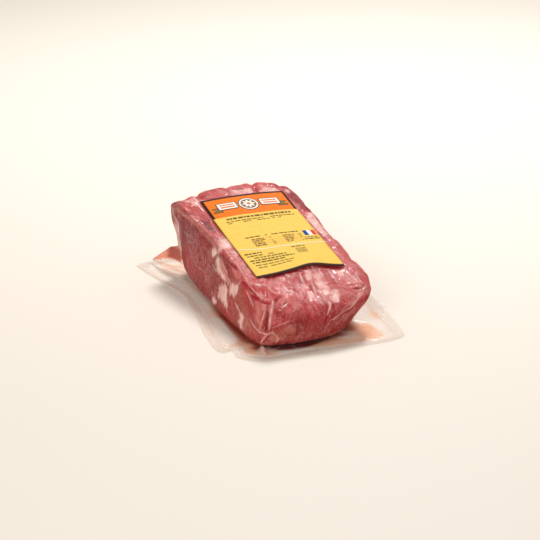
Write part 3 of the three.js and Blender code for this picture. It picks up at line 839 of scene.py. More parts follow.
# the grooves' red, partly painted shade in them
GROOVE_SHADE_RED = linear("b20a20")
LIT_RED = linear("d4605a")
LIT_PINK = linear("e8837c")
TAN = linear("b5654a")
SCARLET = linear("c0302e")
WEB_COLOUR = linear("d99490")
ORANGE_PINK = linear("f0a585")
WEB_RED = linear("a8342a")
FIN_PINK = linear("c98470")
FIBRE_SHADOW = linear("a04a42")
# The folds' milky colours; pearl and blush are also painted highlight colours
MILK_AND_GLINT_COLOURS = colours_of(pearl="ffd2cb", blush="f4aaa0", rose="e38f89", salmon="cb776a", vein="bd7c7c")

# Outlines of the fat on the left side, by places along and up
FAT_ON_LEFT = [
    [(8, 51), (1, 54), (-3, 51), (0, 47), (5, 46)],
    [(-7, 49), (-12, 50), (-16, 47), (-18, 43), (-22, 40), (-28, 37), (-30, 36), (-25, 36), (-21, 37),
     (-18, 38), (-15, 36), (-11, 37), (-10, 41), (-7, 45)],
    [(-42, 33), (-45, 36), (-52, 37), (-57, 38), (-58, 36), (-58, 32), (-54, 28), (-47, 28), (-43, 30)],
    [(-21, 29), (-25, 29), (-32, 29), (-38, 29), (-39, 25), (-41, 21), (-44, 18), (-46, 16), (-41, 15),
     (-33, 16), (-26, 16), (-22, 17), (-22, 21), (-20, 24)],
    [(-13, 14), (-22, 12), (-20, 9), (-11, 8)],
    [(-74, 20), (-80, 19), (-83, 18), (-83, 14), (-85, 11), (-89, 9), (-83, 8), (-79, 10), (-75, 12),
     (-77, 16), (-74, 18)],
]
# Outlines of the fat on the top, by places across and along
FAT_ON_TOP = [
    [(6, -77), (9, -79), (8, -85), (6, -87), (4, -85), (4, -81)],
    [(12, -81), (18, -80), (19, -84), (16, -88), (12, -89), (11, -85)],
    [(11, -89), (16, -90), (18, -96), (18, -101), (16, -106), (13, -107), (12, -101), (10, -95)],
    [(19, -103), (24, -103), (26, -108), (23, -115), (17, -116), (16, -112)],
    [(-1, -99), (1, -101), (2, -107), (1, -109), (-2, -108)],
    [(35, -80), (40, -79), (39, -85), (34, -86)],
    [(-42, 100), (-39, 96), (-41, 88), (-44, 83), (-46, 91), (-50, 94)],
    [(-3, 103), (2, 99), (8, 97), (16, 99), (15, 90), (6, 85), (-2, 83), (-6, 84)],
    [(24, 91), (33, 96), (40, 93), (42, 89), (32, 87), (24, 86)],
    [(48, 90), (52, 89), (49, 85), (47, 86)],
    [(51, 39), (55, 42), (57, 36), (58, 27), (57, 18), (56, -2), (50, -9), (49, 0), (49, 9), (47, 18),
     (47, 26)],
    [(-44, 9), (-38, 8), (-38, -6), (-41, -10), (-46, -8), (-50, -10), (-48, 0)],
    [(-49, 2), (-46, 4), (-47, -5), (-50, -12), (-52, -4)],
    [(-43, 96), (-39, 94), (-38, 89), (-41, 85), (-44, 80), (-46, 86)],
]
# Thin seams of fat: each has its width and its line
STRANDS = [
    (1.2, [(-53, -14, 50), (-52, -30, 42), (-53, -33, 38), (-53, -44, 34)]),
    (1.0, [(-53, -18, 46), (-53, -34, 35), (-54, -41, 32)]),
    (1.1, [(-53, -54, 36), (-51, -58, 39), (-50, -61, 44)]),
    (0.7, [(-51, -51, 40), (-51, -55, 39)]),
    (0.9, [(-55, -61, 24), (-55, -74, 19)]),
    (0.7, [(-57, -74, 13), (-57, -81, 9)]),
    (0.8, [(-58, -41, 17), (-59, -51, 11)]),
    (0.7, [(-55, 1, 39), (-56, -12, 36)]),
    (0.7, [(47, -37, 54), (49, -43, 53)]),
    (0.8, [(-36, 92, 72), (-30, 93, 73), (-24, 90, 73)]),
    (0.7, [(55, -6, 57), (55, -13, 57)]),
]
STRAND_STRENGTH = 0.6

# How ragged the fat's borders are, and from where to where they fade in
RAGGED = 2.6
FAT_BORDER = {"left": (-2.6, 1.8), "top": (-2.4, 1.4)}

# The front's pleats: where they fade in and out from left to right and upwards
PLEATS = {
    "spacing": 4.6, "slant": 0.28, "sway": 1.8, "depth": 0.4,
    "left": (-34, -26), "right": (18, 28), "low": (10, 22), "high": (37, 45),
}

# The blood at the foot of the far left corner
BLOODY_CORNER = {"at": (-59, 88, 22), "stretch": (1, 0.6, 0.9), "radius": 12}

# How strongly the web of pale threads shows on each side
WEB_ON_SIDES = {"left": 1.0, "right": 0.5, "far": 0.4, "front": 0.3, "top": 0.3}

# Dark reds, over which no fibres or threads show; those in the grooves and creases are partly painted shade
DARK_REDS = (DEEP, DARK_RED, CLOT_AND_SHADE, GROOVE_SHADE_RED)

# Where the meat's colour differs, by stains and by painted highlight and shade: each place has its colour,
# width and strength, and its line
STAINS_AND_PAINTED_LIGHT = [
    (BROWN, 6.5, 0.5, [(-52, -57, 34), (-54, -66, 28), (-54, -79, 25), (-54, -94, 19), (-55, -101, 13)]),
    (LIT_RED, 5.0, 0.3, [(-50, 90, 70), (-40, 62, 69), (-37, 45, 66)]),
    # painted shadow under the label's near edge
    (DEEP, 5.0, 1.0, GROOVES["label_edge"]),
    (CLOT_AND_SHADE, 10.0, 0.8, [(52, 88, 72), (57, 60, 68), (56, 46, 66)]),
    (SCARLET, 3.5, 0.5, [(16, -95, 43), (23, -95, 43), (39, -99, 42)]),
    (DEEP, 3.0, 0.4, [(16, -119, 33), (21, -120, 31), (28, -117, 32)]),
    (RED_BROWN, 2.5, 0.5, [(51, -97, 42), (51, -103, 39), (47, -107, 37)]),
    # painted shade beside the label's left edge
    (DEEP, 4.5, 0.4, [(-39, 67, 69), (-37, 54, 67), (-38, 13, 60)]),
    (SCARLET, 3.0, 0.5, [(-49, -9, 57), (-49, -25, 55)]),
    (PALE, 4.0, 0.55, [(-43, 2, 58), (-43, -42, 54), (-41, -58, 51)]),
    (TAN, 4.0, 0.4, [(-44, -124, 12), (-38, -124, 14), (-30, -124, 12)]),
    # painted shade in the crease under the film's ridge along the left shoulder
    (RED_BROWN, 1.4, 0.9, [(-55, 46, 63), (-52, 5, 56), (-52, -17, 53), (-48, -48, 50)]),
    # dark reds along the grooves, partly painted shade in them over their hollows
    (GROOVE_SHADE_RED, 2.0, 1.0, GROOVES["corner"]),
    (GROOVE_SHADE_RED, 2.6, 1.0, GROOVES["gash"]),
    (CLOT_AND_SHADE, 2.0, 1.0, [(-45, -117, 37), (-49, -121, 19)]),
    (CLOT_AND_SHADE, 3.8, 1.0, [(-46, -120, 28), (-48, -121, 19)]),
    (CLOT_AND_SHADE, 0.7, 0.6, [(-43, -110, 40), (-45, -118, 35)]),
    (DEEP, 1.4, 1.0, GROOVES["end_left"]),
    (DARK_RED, 1.3, 0.8, GROOVES["end_right"]),
    (DARK_RED, 0.9, 0.8, GROOVES["hook"]),
    (DARK_RED, 0.7, 0.6, GROOVES["nick"]),
    (DARK_RED, 0.8, 0.8, GROOVES["slit"]),
    (DARK_RED, 1.6, 0.8, GROOVES["right_corner"]),
    (BROWN, 2.2, 0.8, [(37, -111, 36), (39, -112, 35)]),
    # dark reds along the groove by the near left corner's lip, partly painted shade
    (DARK_RED, 1.6, 0.9, [(-37, -114, 39), (-33, -106, 40), (-30, -105, 41)]),
    (DARK_RED, 1.2, 0.7, [(-33, -115, 38), (-25, -111, 39)]),
    (DEEP, 1.8, 0.9, [(8, -107, 39), (10, -117, 34)]),
    (CLOT_AND_SHADE, 1.0, 1.0, [(-31, -77, 48), (-28, -76, 48)]),
    (CLOT_AND_SHADE, 0.8, 0.8, [(-24, -76, 49), (-23, -76, 49)]),
    (LIT_RED, 3.6, 0.8, [(-49, -43, 47), (-50, -62, 45)]),
    (LIT_PINK, 4.5, 0.55, [(-48, -98, 37), (-49, -105, 33), (-50, -106, 28), (-51, -110, 24)]),
    (LIT_PINK, 2.5, 0.5, [(-46, -107, 38), (-47, -112, 35)]),
    (TAN, 2.2, 0.8, [(-54, -98, 19), (-56, -102, 10)]),
    (TAN, 3.0, 0.8, [(-44, -125, 14), (-42, -125, 12), (-45, -125, 11)]),
    (CLOT_AND_SHADE, 0.9, 0.8, [(-50, -122, 12), (-46, -123, 13)]),
    (TAN, 2.2, 0.6, [(-31, -126, 19), (-28, -127, 18), (-24, -127, 19)]),
    (PURPLE, 1.8, 0.85, [(-58, 76, 67), (-57, 68, 67), (-52, 63, 67)]),
    (PURPLE, 2.8, 0.9, [(-48, 49, 65), (-46, 44, 64), (-46, 27, 62)]),
    (PURPLE, 2.2, 0.7, [(-46, 14, 60), (-46, 8, 59)]),
    (DEEP, 2.2, 0.7, [(-54, 93, 69), (-52, 89, 69)]),
    (DEEP, 2.4, 0.45, [(-47, 77, 69), (-46, 63, 68)]),
    (DEEP, 2.2, 0.7, [(-45, 61, 67), (-41, 43, 65), (-40, 20, 61)]),
    (CLOT_AND_SHADE, 8.0, 0.85, [(-59, 76, 62), (-59, 74, 50), (-59, 78, 32)]),
    (DARK_RED, 1.6, 0.6, [(-51, -28, 49), (-51, -34, 44)]),
    (DARK_RED, 1.3, 0.7, [(-50, -37, 46), (-50, -41, 43), (-51, -40, 40)]),
    (RED_BROWN, 3.2, 0.75, [(-51, -21, 50), (-51, -34, 45), (-51, -48, 39)]),
    (LIT_PINK, 2.2, 0.55, [(-50, -38, 48), (-50, -52, 44)]),
    # painted shade under the film's ridge along the left shoulder
    (CLOT_AND_SHADE, 1.3, 0.75, [(-52, 0, 54), (-51, -27, 52), (-48, -48, 50)]),
    (DARK_RED, 1.2, 0.7, [(-52, -66, 39), (-52, -72, 38)]),
    (DARK_RED, 1.4, 0.6, [(-51, -80, 36), (-51, -89, 30), (-53, -95, 24)]),
    (DARK_RED, 1.4, 0.7, [(-55, -19, 37), (-54, -27, 35)]),
    (DARK_RED, 1.8, 0.7, [(-58, -20, 20), (-59, -20, 16), (-60, -25, 12)]),
    (DARK_RED, 1.2, 0.8, [(-5, 98, 75), (-6, 89, 74), (-9, 83, 73)]),
    (DARK_RED, 1.4, 0.8, [(22, 105, 76), (21, 92, 74), (19, 85, 74)]),
    (DEEP, 1.5, 0.6, [(1, 106, 76), (11, 112, 75)]),
    (DEEP, 3.0, 0.35, [(-29, 102, 74), (-13, 101, 75), (-8, 99, 75)]),
    (CLOT_AND_SHADE, 3.0, 0.6, [(50, 83, 71), (51, 61, 67)]),
    (DEEP, 1.8, 0.8, [(52, 54, 67), (50, 42, 65)]),
    (DARK_RED, 1.8, 0.8, [(47, -2, 59), (48, -18, 57)]),
    (SCARLET, 2.4, 0.4, [(50, -21, 56), (51, -38, 53)]),
    (PALE, 5.5, 0.5, [(6, -78, 50), (18, -106, 40)]),
    (PALE, 4.0, 0.5, [(20, -105, 39), (34, -106, 39)]),
    (PALE, 3.5, 0.5, [(33, -78, 49), (38, -86, 47)]),
    (PALE, 3.0, 0.5, [(1, -102, 41), (5, -117, 35)]),
    (DARK_RED, 1.4, 0.6, [(39, -103, 40), (45, -102, 40), (50, -103, 39)]),
    (DEEP, 1.6, 0.6, [(45, -111, 35), (28, -121, 26)]),
    (DEEP, 1.6, 0.8, [(9, -119, 33), (7, -125, 25), (5, -126, 15)]),
    (DARK_RED, 1.2, 0.6, [(25, -111, 36), (15, -119, 33), (9, -124, 28)]),
    (DEEP, 13.0, 1.0, [(-59, 78, 30), (-60, 69, 18)]),
]

# How steeply the surface has to tilt to count as the top or the underside
TOP_TILT = (0.35, 0.75)
UNDER_TILT = (0.4, 0.8)


def side_weights(normals):
    """How much each part of the surface belongs to the top, the underside and each side."""
    x, y, z = np.moveaxis(normals, -1, 0)
    top, under = rise(z, *TOP_TILT), rise(-z, *UNDER_TILT)
    level = 1 - top - under
    facing = {"left": -x, "right": x, "far": y, "front": -y}
    sides = {name: np.maximum(value, 0) ** SIDE_SHARPNESS + SLIGHT for name, value in facing.items()}
    total = sum(sides.values())
    weights = {name: level * value / total for name, value in sides.items()}
    return {**weights, "top": top, "under": under}


def blend_colour(colours, towards, share):
    return mix(colours, np.asarray(towards), clamp(share)[..., None])


def outline_depth(first, second, outline):
    """How far inside an outline places lie, under 0 outside it."""
    nearest = np.full(first.shape, np.inf)
    inside = np.zeros(first.shape, bool)
    for (x0, y0), (x1, y1) in zip(outline, outline[1:] + outline[:1]):
        run_x, run_y = x1 - x0, y1 - y0
        share = clamp(((first - x0) * run_x + (second - y0) * run_y) / (run_x ** 2 + run_y ** 2))
        nearest = np.minimum(nearest, np.hypot(first - x0 - share * run_x, second - y0 - share * run_y))
        if y0 != y1:
            crosses = (second > y0) != (second > y1)
            inside ^= crosses & (first < x0 + (second - y0) * run_x / run_y)
    return np.where(inside, nearest, -nearest)


def outlined_fat(skin, ragged):
    """The fat that is outlined on the left side and the top, with streaks along its borders."""
    x, y, z = np.moveaxis(skin.points, -1, 0)
    left = np.max([outline_depth(y, z, outline) for outline in FAT_ON_LEFT], axis=0)
    top = np.max([outline_depth(x, y, outline) for outline in FAT_ON_TOP], axis=0)
    streaky = noise(np.stack([x, y - z * 0.4, z * 0.25], -1), 3.4, seed=65) * 1.4
    on_left = rise(left + ragged + streaky, *FAT_BORDER["left"]) * (skin.weights["left"] > 0.3)
    on_top = rise(top + ragged * 1.2 + streaky * 0.5, *FAT_BORDER["top"]) * (z > 30)
    return np.maximum(on_left, on_top * mix(1.0, 0.75, rise(y, 60, 90)))


def seams_of_fat(skin, ragged):
    """Thin seams of fat: placed strands and, on the sides that don't show, lines of noise."""
    strands = np.max([on_line(skin, line, wide) for wide, line in STRANDS], axis=0)
    hidden = skin.weights["right"] + skin.weights["far"] + skin.weights["under"] * 0.8
    seams = ridges(skin.weave, 26, 0.16, seed=71) * rise(noise(skin.points, 45, seed=72), -0.2, 0.2)
    return np.maximum(strands * STRAND_STRENGTH, rise(seams * hidden + ragged * 0.2, 0.4, 0.8))


def fat_cover(skin):
    """How much fat shows at each point."""
    ragged = rough_noise(skin.weave, 8, seed=61, octaves=4) * RAGGED
    cover = np.maximum(outlined_fat(skin, ragged), seams_of_fat(skin, ragged))
    thin = mix(0.7, 0.85, skin.weights["left"])
    return cover * mix(thin, 1.0, rise(noise(skin.weave, 9, seed=64), -0.5, 0.5))


def pleats(points, weights):
    """The fine, slightly slanted pleats on the front, 1 in their valleys."""
    x, _, z = np.moveaxis(points, -1, 0)
    sway = noise(points, 14, seed=51) * PLEATS["sway"]
    phase = (x + PLEATS["slant"] * z + sway) / PLEATS["spacing"]
    across = between(x, PLEATS["left"], PLEATS["right"])
    up = between(z, PLEATS["low"], PLEATS["high"])
    strength = 0.7 + 0.3 * noise(points, 9, seed=52)
    front = weights["front"] + weights["top"]
    return (0.5 + 0.5 * np.cos(math.tau * phase)) ** 2 * across * up * strength * front


def bloody_corner(places):
    offset = (places - np.array(BLOODY_CORNER["at"])) * np.array(BLOODY_CORNER["stretch"])
    return bell(np.linalg.norm(offset, axis=-1), BLOODY_CORNER["radius"])


def muscle_colours(skin, places):
    """The lean meat's colour: blotched, with purple, brown, pale and bloody red parts; the top's pinker red
    is partly painted sheen, and the darker red in the front's pleat valleys is painted shade.
    """
    _, y, z = np.moveaxis(places, -1, 0)
    weights = skin.weights
    colours = sum(weights[side][..., None] * np.array(MUSCLE[side]) for side in weights)
    blotch = rough_noise(places, 26, seed=41, octaves=4)
    colours = colours * (1 + (0.28 + 0.25 * weights["left"]) * blotch)[..., None]
    mottle = rise(noise(skin.weave, 12, seed=44), -0.3, 0.4)
    low_front = weights["front"] * rise(-z + noise(places, 20, seed=49) * 3, -27, -20)
    foot = rise(-z, -12, 0) * (weights["left"] + weights["front"] + weights["right"])
    pale = rise(rough_noise(skin.weave, 9, seed=47), 0.05, 0.45) * mix(0.22, 0.5, weights["top"])
    shades = [
        (PURPLE, weights["left"] * rise(y, 0, 70) * rise(z, 20, 55) * 0.4),
        (BROWN, weights["left"] * rise(-y, 45, 75) * mottle * 0.5),
        (RED_BROWN, low_front * 0.65),
        # painted shade: the pleats' valleys on the front are darker red
        (DARK_RED, pleats(places, weights) * 0.8),
        (DEEP, foot * 0.45),
        (DEEP, bloody_corner(places) * 1.3),
        (PALE, pale),
    ]
    for colour, share in shades:
        colours = blend_colour(colours, colour, share)
    return colours


def with_stains_and_painted_light(skin, colours, deep):
    """The meat's colours with the placed stains, painted highlights and painted shade, and how much plain
    dark red then shows.
    """
    for colour, wide, strength, line in STAINS_AND_PAINTED_LIGHT:
        share = strength * on_line(skin, line, wide)
        colours = blend_colour(colours, colour, share)
        deep = np.maximum(deep, share) if colour in DARK_REDS else deep * (1 - share)
    return colours, clamp(deep)


def meat_colours(skin, places):
    """The meat's colour at each point, and how much fat, web and plain dark red show there."""
    weights = skin.weights
    colours = muscle_colours(skin, places)
    colours, deep = with_stains_and_painted_light(skin, colours, bloody_corner(places) * 0.8)
    fat = fat_cover(skin)
    fat_tone = rise(rough_noise(skin.flow, 4, seed=63), -0.35, 0.35)
    bright = blend_colour(np.array(FAT), FAT_IN_SHADE, weights["left"])
    colours = mix(colours, blend_colour(bright, PALE, fat_tone * 0.65), fat[..., None])
    web = clamp(sum(weights[side] * share for side, share in WEB_ON_SIDES.items()))
    return colours, fat, web, deep


# Materials

class Nodes:
    """A short way to write a material's nodes."""

    def __init__(self, name):
        self.material = bpy.data.materials.new(name)
        self.material.use_nodes = True
        self.tree = self.material.node_tree
        self.tree.nodes.clear()

    def add(self, kind, settings=None, **inputs):
        node = self.tree.nodes.new("ShaderNode" + kind)
        for key, value in (settings or {}).items():
            setattr(node, key, value)
        for key, value in inputs.items():
            self.put(node, key.replace("_", " "), value)
        return node

    def put(self, node, key, value):
        socket = node.inputs[int(key) if key.isdigit() else key]
        if isinstance(value, bpy.types.NodeSocket):
            self.tree.links.new(value, socket)
        elif isinstance(value, tuple) and len(value) == 3 and socket.type == "RGBA":
            socket.default_value = (*value, 1)
        else:
            socket.default_value = value

    def attribute(self, name, output="Fac"):
        return self.add("Attribute", {"attribute_name": name}).outputs[output]

    def texture(self, vector, scale, detail=2.0, distortion=0.0):
        node = self.add("TexNoise", Vector=vector, Scale=scale, Detail=detail, Distortion=distortion)
        return node.outputs["Fac"]

    def range(self, value, low, high, start=0.0, end=1.0):
        """A smooth step from start to end as the value goes from low to high."""
        node = self.add("MapRange", {"interpolation_type": "SMOOTHSTEP"}, Value=value)
        for key, number in zip(("From Min", "From Max", "To Min", "To Max"), (low, high, start, end)):
            node.inputs[key].default_value = number
        return node.outputs["Result"]

    def maths(self, operation, first, second=0.0):
        node = self.add("Math", {"operation": operation})
        self.put(node, "0", first)
        self.put(node, "1", second)
        return node.outputs[0]

    def times(self, first, *others):
        for other in others:
            first = self.maths("MULTIPLY", first, other)
        return first

    def blend(self, share, first, second, mode="MIX"):
        node = self.add("Mix", {"data_type": "RGBA", "blend_type": mode})
        self.put(node, "0", share)
        self.put(node, "6", first)
        self.put(node, "7", second)
        return node.outputs[2]

    def shade(self, share, first, second):
        node = self.add("MixShader")
        self.put(node, "0", share)
        self.put(node, "1", first)
        self.put(node, "2", second)
        return node.outputs[0]

    def bump(self, height, distance, **below):
        return self.add("Bump", Height=height, Distance=distance, **below).outputs["Normal"]

    def surface(self, finish, **inputs):
        """A principled shader whose own sockets hold the finish's numbers."""
        node = self.add("BsdfPrincipled", **inputs)
        for key, number in finish.items():
            node.inputs[key].default_value = number
        return node.outputs[0]

    def finish(self, shader):
        output = self.add("OutputMaterial")
        self.tree.links.new(shader, output.inputs["Surface"])
        return self.material


# How rough and shiny each surface is
PORK_FINISH = {
    "Roughness": 0.5, "Specular IOR Level": 0.15,
    "Subsurface Weight": 0.12, "Subsurface Radius": (1.0, 0.35, 0.25), "Subsurface Scale": 0.003,
}
PAPER_FINISH = {"Roughness": 0.55, "Specular IOR Level": 0.04}
MILK_FINISH = {"Roughness": 0.25}
FLOOR_FINISH = {"Roughness": 0.7}
FILM_IOR = 1.45
GLOSS_ROUGHNESS = 0.08
GLOSS_LIMIT = 0.018

# How strongly each film shines and how high its crinkles are, in metres
TIGHT_FILM = {"gloss_share": 1.0, "crinkle_height": 0.0011}
FLAT_FILM = {"gloss_share": 0.45, "crinkle_height": 0.0006}
RIPPLE_HEIGHT = 0.0003
PORK_GRAIN_HEIGHT = 0.0004
PAPER_GRAIN_HEIGHT = 0.0004

# Thin lines in the meat, and painted highlight streaks in the film: the scale and width of two sizes of
# line, and the patches they keep to
THREADS = {
    "coarse": (0.07, 0.018), "fine": (0.15, 0.03), "patch_scale": 0.045, "detail": 3.0, "patch": (0.36, 0.6),
}
HIGHLIGHT_STREAKS = {
    "coarse": (0.17, 0.022), "fine": (0.4, 0.035), "patch_scale": 0.12, "detail": 2.0, "patch": (0.44, 0.62),
}


def thread_lines(nodes, places, scale, width):
    """Thin pale lines where a noise crosses its middle."""
    value = nodes.texture(places, scale, 2.0, 0.6)
    off = nodes.maths("ABSOLUTE", nodes.maths("SUBTRACT", value, 0.5))
    return nodes.range(off, 0.0, width, 1.0, 0.0)


def broken_lines(nodes, places, coarse, fine, patch_scale, detail, patch):
    """Thin lines of two sizes that show only in patches."""
    lines = nodes.maths("MAXIMUM", thread_lines(nodes, places, *coarse), thread_lines(nodes, places, *fine))
    patches = nodes.range(nodes.texture(places, patch_scale, detail), *patch)
    return nodes.times(lines, patches)


def pork_material():
    """Raw muscle with fine fibres and a web of pale threads, and smoother fat."""
    nodes = Nodes("pork")
    grain, weave = (nodes.attribute(name, "Vector") for name in ("grain", "weave"))
    fat, web = nodes.attribute("fat"), nodes.attribute("web")
    plain = nodes.range(nodes.attribute("deep"), 0.0, 0.8, 1.0, 0.08)
    lean = nodes.times(nodes.maths("SUBTRACT", 1.0, fat), nodes.range(web, 0.0, 1.0, 1.0, 0.3), plain)
    fibre = nodes.texture(grain, 0.27, 2.0, 0.6)
    dark = nodes.times(nodes.range(fibre, 0.52, 0.32), lean, 0.45)
    colour = nodes.blend(dark, nodes.attribute("tone", "Color"), FIBRE_SHADOW, "MULTIPLY")
    light = nodes.times(nodes.range(fibre, 0.55, 0.72), lean, 0.16)
    colour = nodes.blend(light, colour, WEB_COLOUR)
    threads = nodes.times(broken_lines(nodes, weave, **THREADS), nodes.times(web, plain), 0.5)
    colour = nodes.blend(threads, colour, WEB_COLOUR)
    speck = nodes.texture(nodes.add("TexCoord").outputs["Object"], 520.0, 3.0)
    pale_speck = nodes.times(nodes.range(speck, 0.54, 0.72, 0.0, 0.3), plain)
    colour = nodes.blend(pale_speck, colour, WEB_COLOUR)
    colour = nodes.blend(nodes.range(speck, 0.44, 0.28, 0.0, 0.4), colour, DEEP)
    normal = nodes.bump(nodes.maths("ADD", fibre, speck), PORK_GRAIN_HEIGHT)
    return nodes.finish(nodes.surface(PORK_FINISH, Base_Color=colour, Normal=normal))


def crinkled(nodes, grain, height):
    """The film's normals: crinkles along its grain with fine ripples over them, where it is slack."""
    slack = nodes.attribute("slack")
    places = nodes.add("TexCoord").outputs["Object"]
    crinkle = nodes.times(nodes.texture(grain, 0.38, 3.0, 0.7), slack)
    ripple = nodes.times(nodes.texture(places, 260.0, 2.0, 0.5), slack)
    return nodes.bump(ripple, RIPPLE_HEIGHT, Normal=nodes.bump(crinkle, height))


def film_material(name, gloss_share, crinkle_height):
    """Clear film: see-through and glossy, coloured where juice lies in it, and whitish where it is hazy and
    where painted glints and highlight streaks are laid in.
    """
    nodes = Nodes(name)
    grain = nodes.attribute("grain", "Vector")
    normal = crinkled(nodes, grain, crinkle_height)
    clear = nodes.add("BsdfTransparent", Color=nodes.attribute("tint", "Color")).outputs[0]
    gloss = nodes.add("BsdfGlossy", Color=(1, 1, 1), Roughness=GLOSS_ROUGHNESS, Normal=normal).outputs[0]
    fresnel = nodes.add("Fresnel", IOR=FILM_IOR, Normal=normal).outputs[0]
    share = nodes.maths("MINIMUM", nodes.times(fresnel, gloss_share), GLOSS_LIMIT)
    shine = nodes.shade(share, clear, gloss)
    # painted highlight: thin whitish streaks laid into the film where it is slack on the top
    highlight_lines = nodes.times(broken_lines(nodes, grain, **HIGHLIGHT_STREAKS), nodes.attribute("streak"))
    haze = nodes.maths("MAXIMUM", nodes.attribute("haze"), highlight_lines)
    milky = nodes.surface(MILK_FINISH, Base_Color=nodes.attribute("milk", "Color"), Normal=normal)
    return nodes.finish(nodes.shade(haze, shine, milky))


def paper_material(name, colour):
    """Printed paper: one colour with a slight unevenness."""
    nodes = Nodes(name)
    places = nodes.add("TexCoord").outputs["Object"]
    darker = tuple(part * 0.9 for part in colour)
    shade = nodes.blend(nodes.range(nodes.texture(places, 400.0, 3.0), 0.3, 0.7), colour, darker)
    normal = nodes.bump(nodes.texture(places, 90.0, 2.0), PAPER_GRAIN_HEIGHT)
    return nodes.finish(nodes.surface(PAPER_FINISH, Base_Color=shade, Normal=normal))


# The pouch's margin

def margin_edges(square):
    """The margin's outer edge in the direction of each place of the rounded square."""
    outline = np.array(MARGIN_OUTLINE, float)
    closed = np.vstack([outline, outline[:1]])
    angles = np.unwrap(np.arctan2(closed[:, 1] / MARGIN_HALF[1], closed[:, 0] / MARGIN_HALF[0]))
    wanted = np.arctan2(square[1], square[0])
    wanted = angles[0] + (wanted - angles[0]) % math.tau
    return np.stack([np.interp(wanted, angles, closed[:, part]) for part in (0, 1)], -1) * MARGIN_TRIM


MILK = linear("fbeadb")
JUICE = (1.0, 0.66, 0.48)
# dark red tint by the block's foot: painted shade and reflected meat, with some blood
BLOOD_AND_SHADE_TINT = (0.6, 0.2, 0.14)
# painted shadow: the dark red on the film under the block's near edge
NEAR_EDGE_SHADE_RED = (0.42, 0.03, 0.02)

# The small pinched tail of film at the near left corner
TAIL_COLOUR = linear("ee9c8a")
TAIL = {"line": [(-50, -119), (-52, -131)], "width": 1.6, "height": 2.0}

# The margin's height at its seal, with its waves, and inside it, where it puffs up and creases
SEAL_LEVEL = 0.45
SEAL_WAVE = 2.2
SOFT_LEVEL = 0.6
SOFT_PUFF = 0.7
SOFT_CREASE = 1.1

# How hazy the seal is, with its stripes, and the soft film, with the bright line beside the seal
SEAL_HAZE = 0.5
SEAL_STRIPES = {"haze": 0.07, "count": 2.5}
SOFT_HAZE = 0.07
SEAL_LINE = {"haze": 0.5, "width": 0.06}


def seal_row(edge, run, seal, share):
    """A row of the heat seal: its points, haziness, whitish colour, juice, and bloody tint with painted
    shade.
    """
    plan = edge + run * (seal * share)[:, None]
    none = np.zeros(len(plan))
    flat = np.column_stack([plan, none])
    wave = (0.5 + 0.5 * noise(flat, 34, seed=81)) * SEAL_WAVE * (1 - share)
    ripple = noise(flat, 11, seed=82) * 0.25
    places = np.column_stack([plan, SEAL_LEVEL + np.maximum(wave + ripple, 0)])
    stripe = SEAL_STRIPES["haze"] * math.cos(share * math.tau * SEAL_STRIPES["count"])
    haze = SEAL_HAZE + stripe + 0.12 * noise(flat, 16, seed=83)
    return places, haze, np.broadcast_to(np.array(MILK), places.shape), none, none


def soft_row(edge, run, seal, share, foot):
    """A row of the soft film between the seal and the block's foot, with what a row of the seal has."""
    plan = edge + run * (seal + (1 - seal) * share)[:, None]
    x, y = plan.T
    flat = np.column_stack([plan, np.zeros(len(plan))])
    pinch = bell(line_distance(plan, TAIL["line"]), TAIL["width"])
    spokes = np.column_stack([foot[:, :2], np.full(len(plan), share * 6)])
    crease = ridges(spokes, 9, 0.16, seed=84) * rise(noise(flat, 30, seed=85), -0.4, 0.4)
    arch = math.sin(math.pi * share)
    z = SOFT_LEVEL + arch ** 0.5 * SOFT_PUFF + crease * SOFT_CREASE * arch
    z = z + np.maximum(foot[:, 2] - SOFT_LEVEL, 0) * share ** 3
    places = np.column_stack([plan, z + TAIL["height"] * pinch])
    line = SEAL_LINE["haze"] * math.exp(-((share / SEAL_LINE["width"]) ** 2))
    haze = SOFT_HAZE + line + 0.25 * crease + 0.06 * noise(flat, 14, seed=86) + 0.75 * pinch
    beside_left = rise(-x, 30, 50) * rise(y, -40, 10)
    # painted shade and reflected meat: a dark red tint near the block's foot; the pinched tail takes some of
    # the same tint
    blood_and_shade = np.maximum(rise(share, 0.55, 0.85) * (1 - 0.9 * beside_left), 0.6 * pinch)
    blotch = rise(noise(flat, 26, seed=87) + rise(share, 0.25, 1.0) * 0.9, 0.25, 0.9)
    juice = clamp(blotch * 0.75) * (1 - 0.6 * beside_left)
    return places, haze, blend_colour(np.array(MILK), TAIL_COLOUR, pinch), juice, blood_and_shade


def margin_rows(foot, square):
    """The margin from its outer edge to the block's foot: its points, haziness, whitish colour, juice, and
    bloody tint with painted shade.
    """
    edge = margin_edges(square)
    run = foot[:, :2] - edge
    seal = SEAL_WIDTH / np.linalg.norm(run, axis=-1)
    rows = [seal_row(edge, run, seal, share) for share in np.linspace(0, 1, SEAL_ROWS)]
    rows += [soft_row(edge, run, seal, share, foot) for share in np.linspace(0, 1, MARGIN_ROWS)[1:]]
    places, haze, milk, juice, blood_and_shade = (np.stack(part) for part in zip(*rows))
    return places, clamp(haze), milk, juice, blood_and_shade


# The label's print, in millimetres across from its left edge and along from its far edge
FRAME_SIDE = 2.2
FRAME_TOP = 3.0
HEAD_END = 38.2
# The lip past the near edge takes the back's dark brown: partly the label's dark border, partly painted
# shadow under the lifted edge
BAND_BELOW = 2.7
PRINT_LIFT = 0.07

# How far apart the corners of printed shapes may lie, and the seed of their words
PRINT_STEP = 4.0
PRINT_SEED = 12

FIELDS = colours_of(
    label_orange="f07a1c", label_yellow="f9cd5f", label_frame="3d2420",
    label_worn="fff2c6", label_back="4a302c", print_ink="6e5622", print_white="fbf4ee",
    print_olive="8a6a35", print_rule="ef9a3d", print_blue="1f3f93", print_red="e2413c",
)

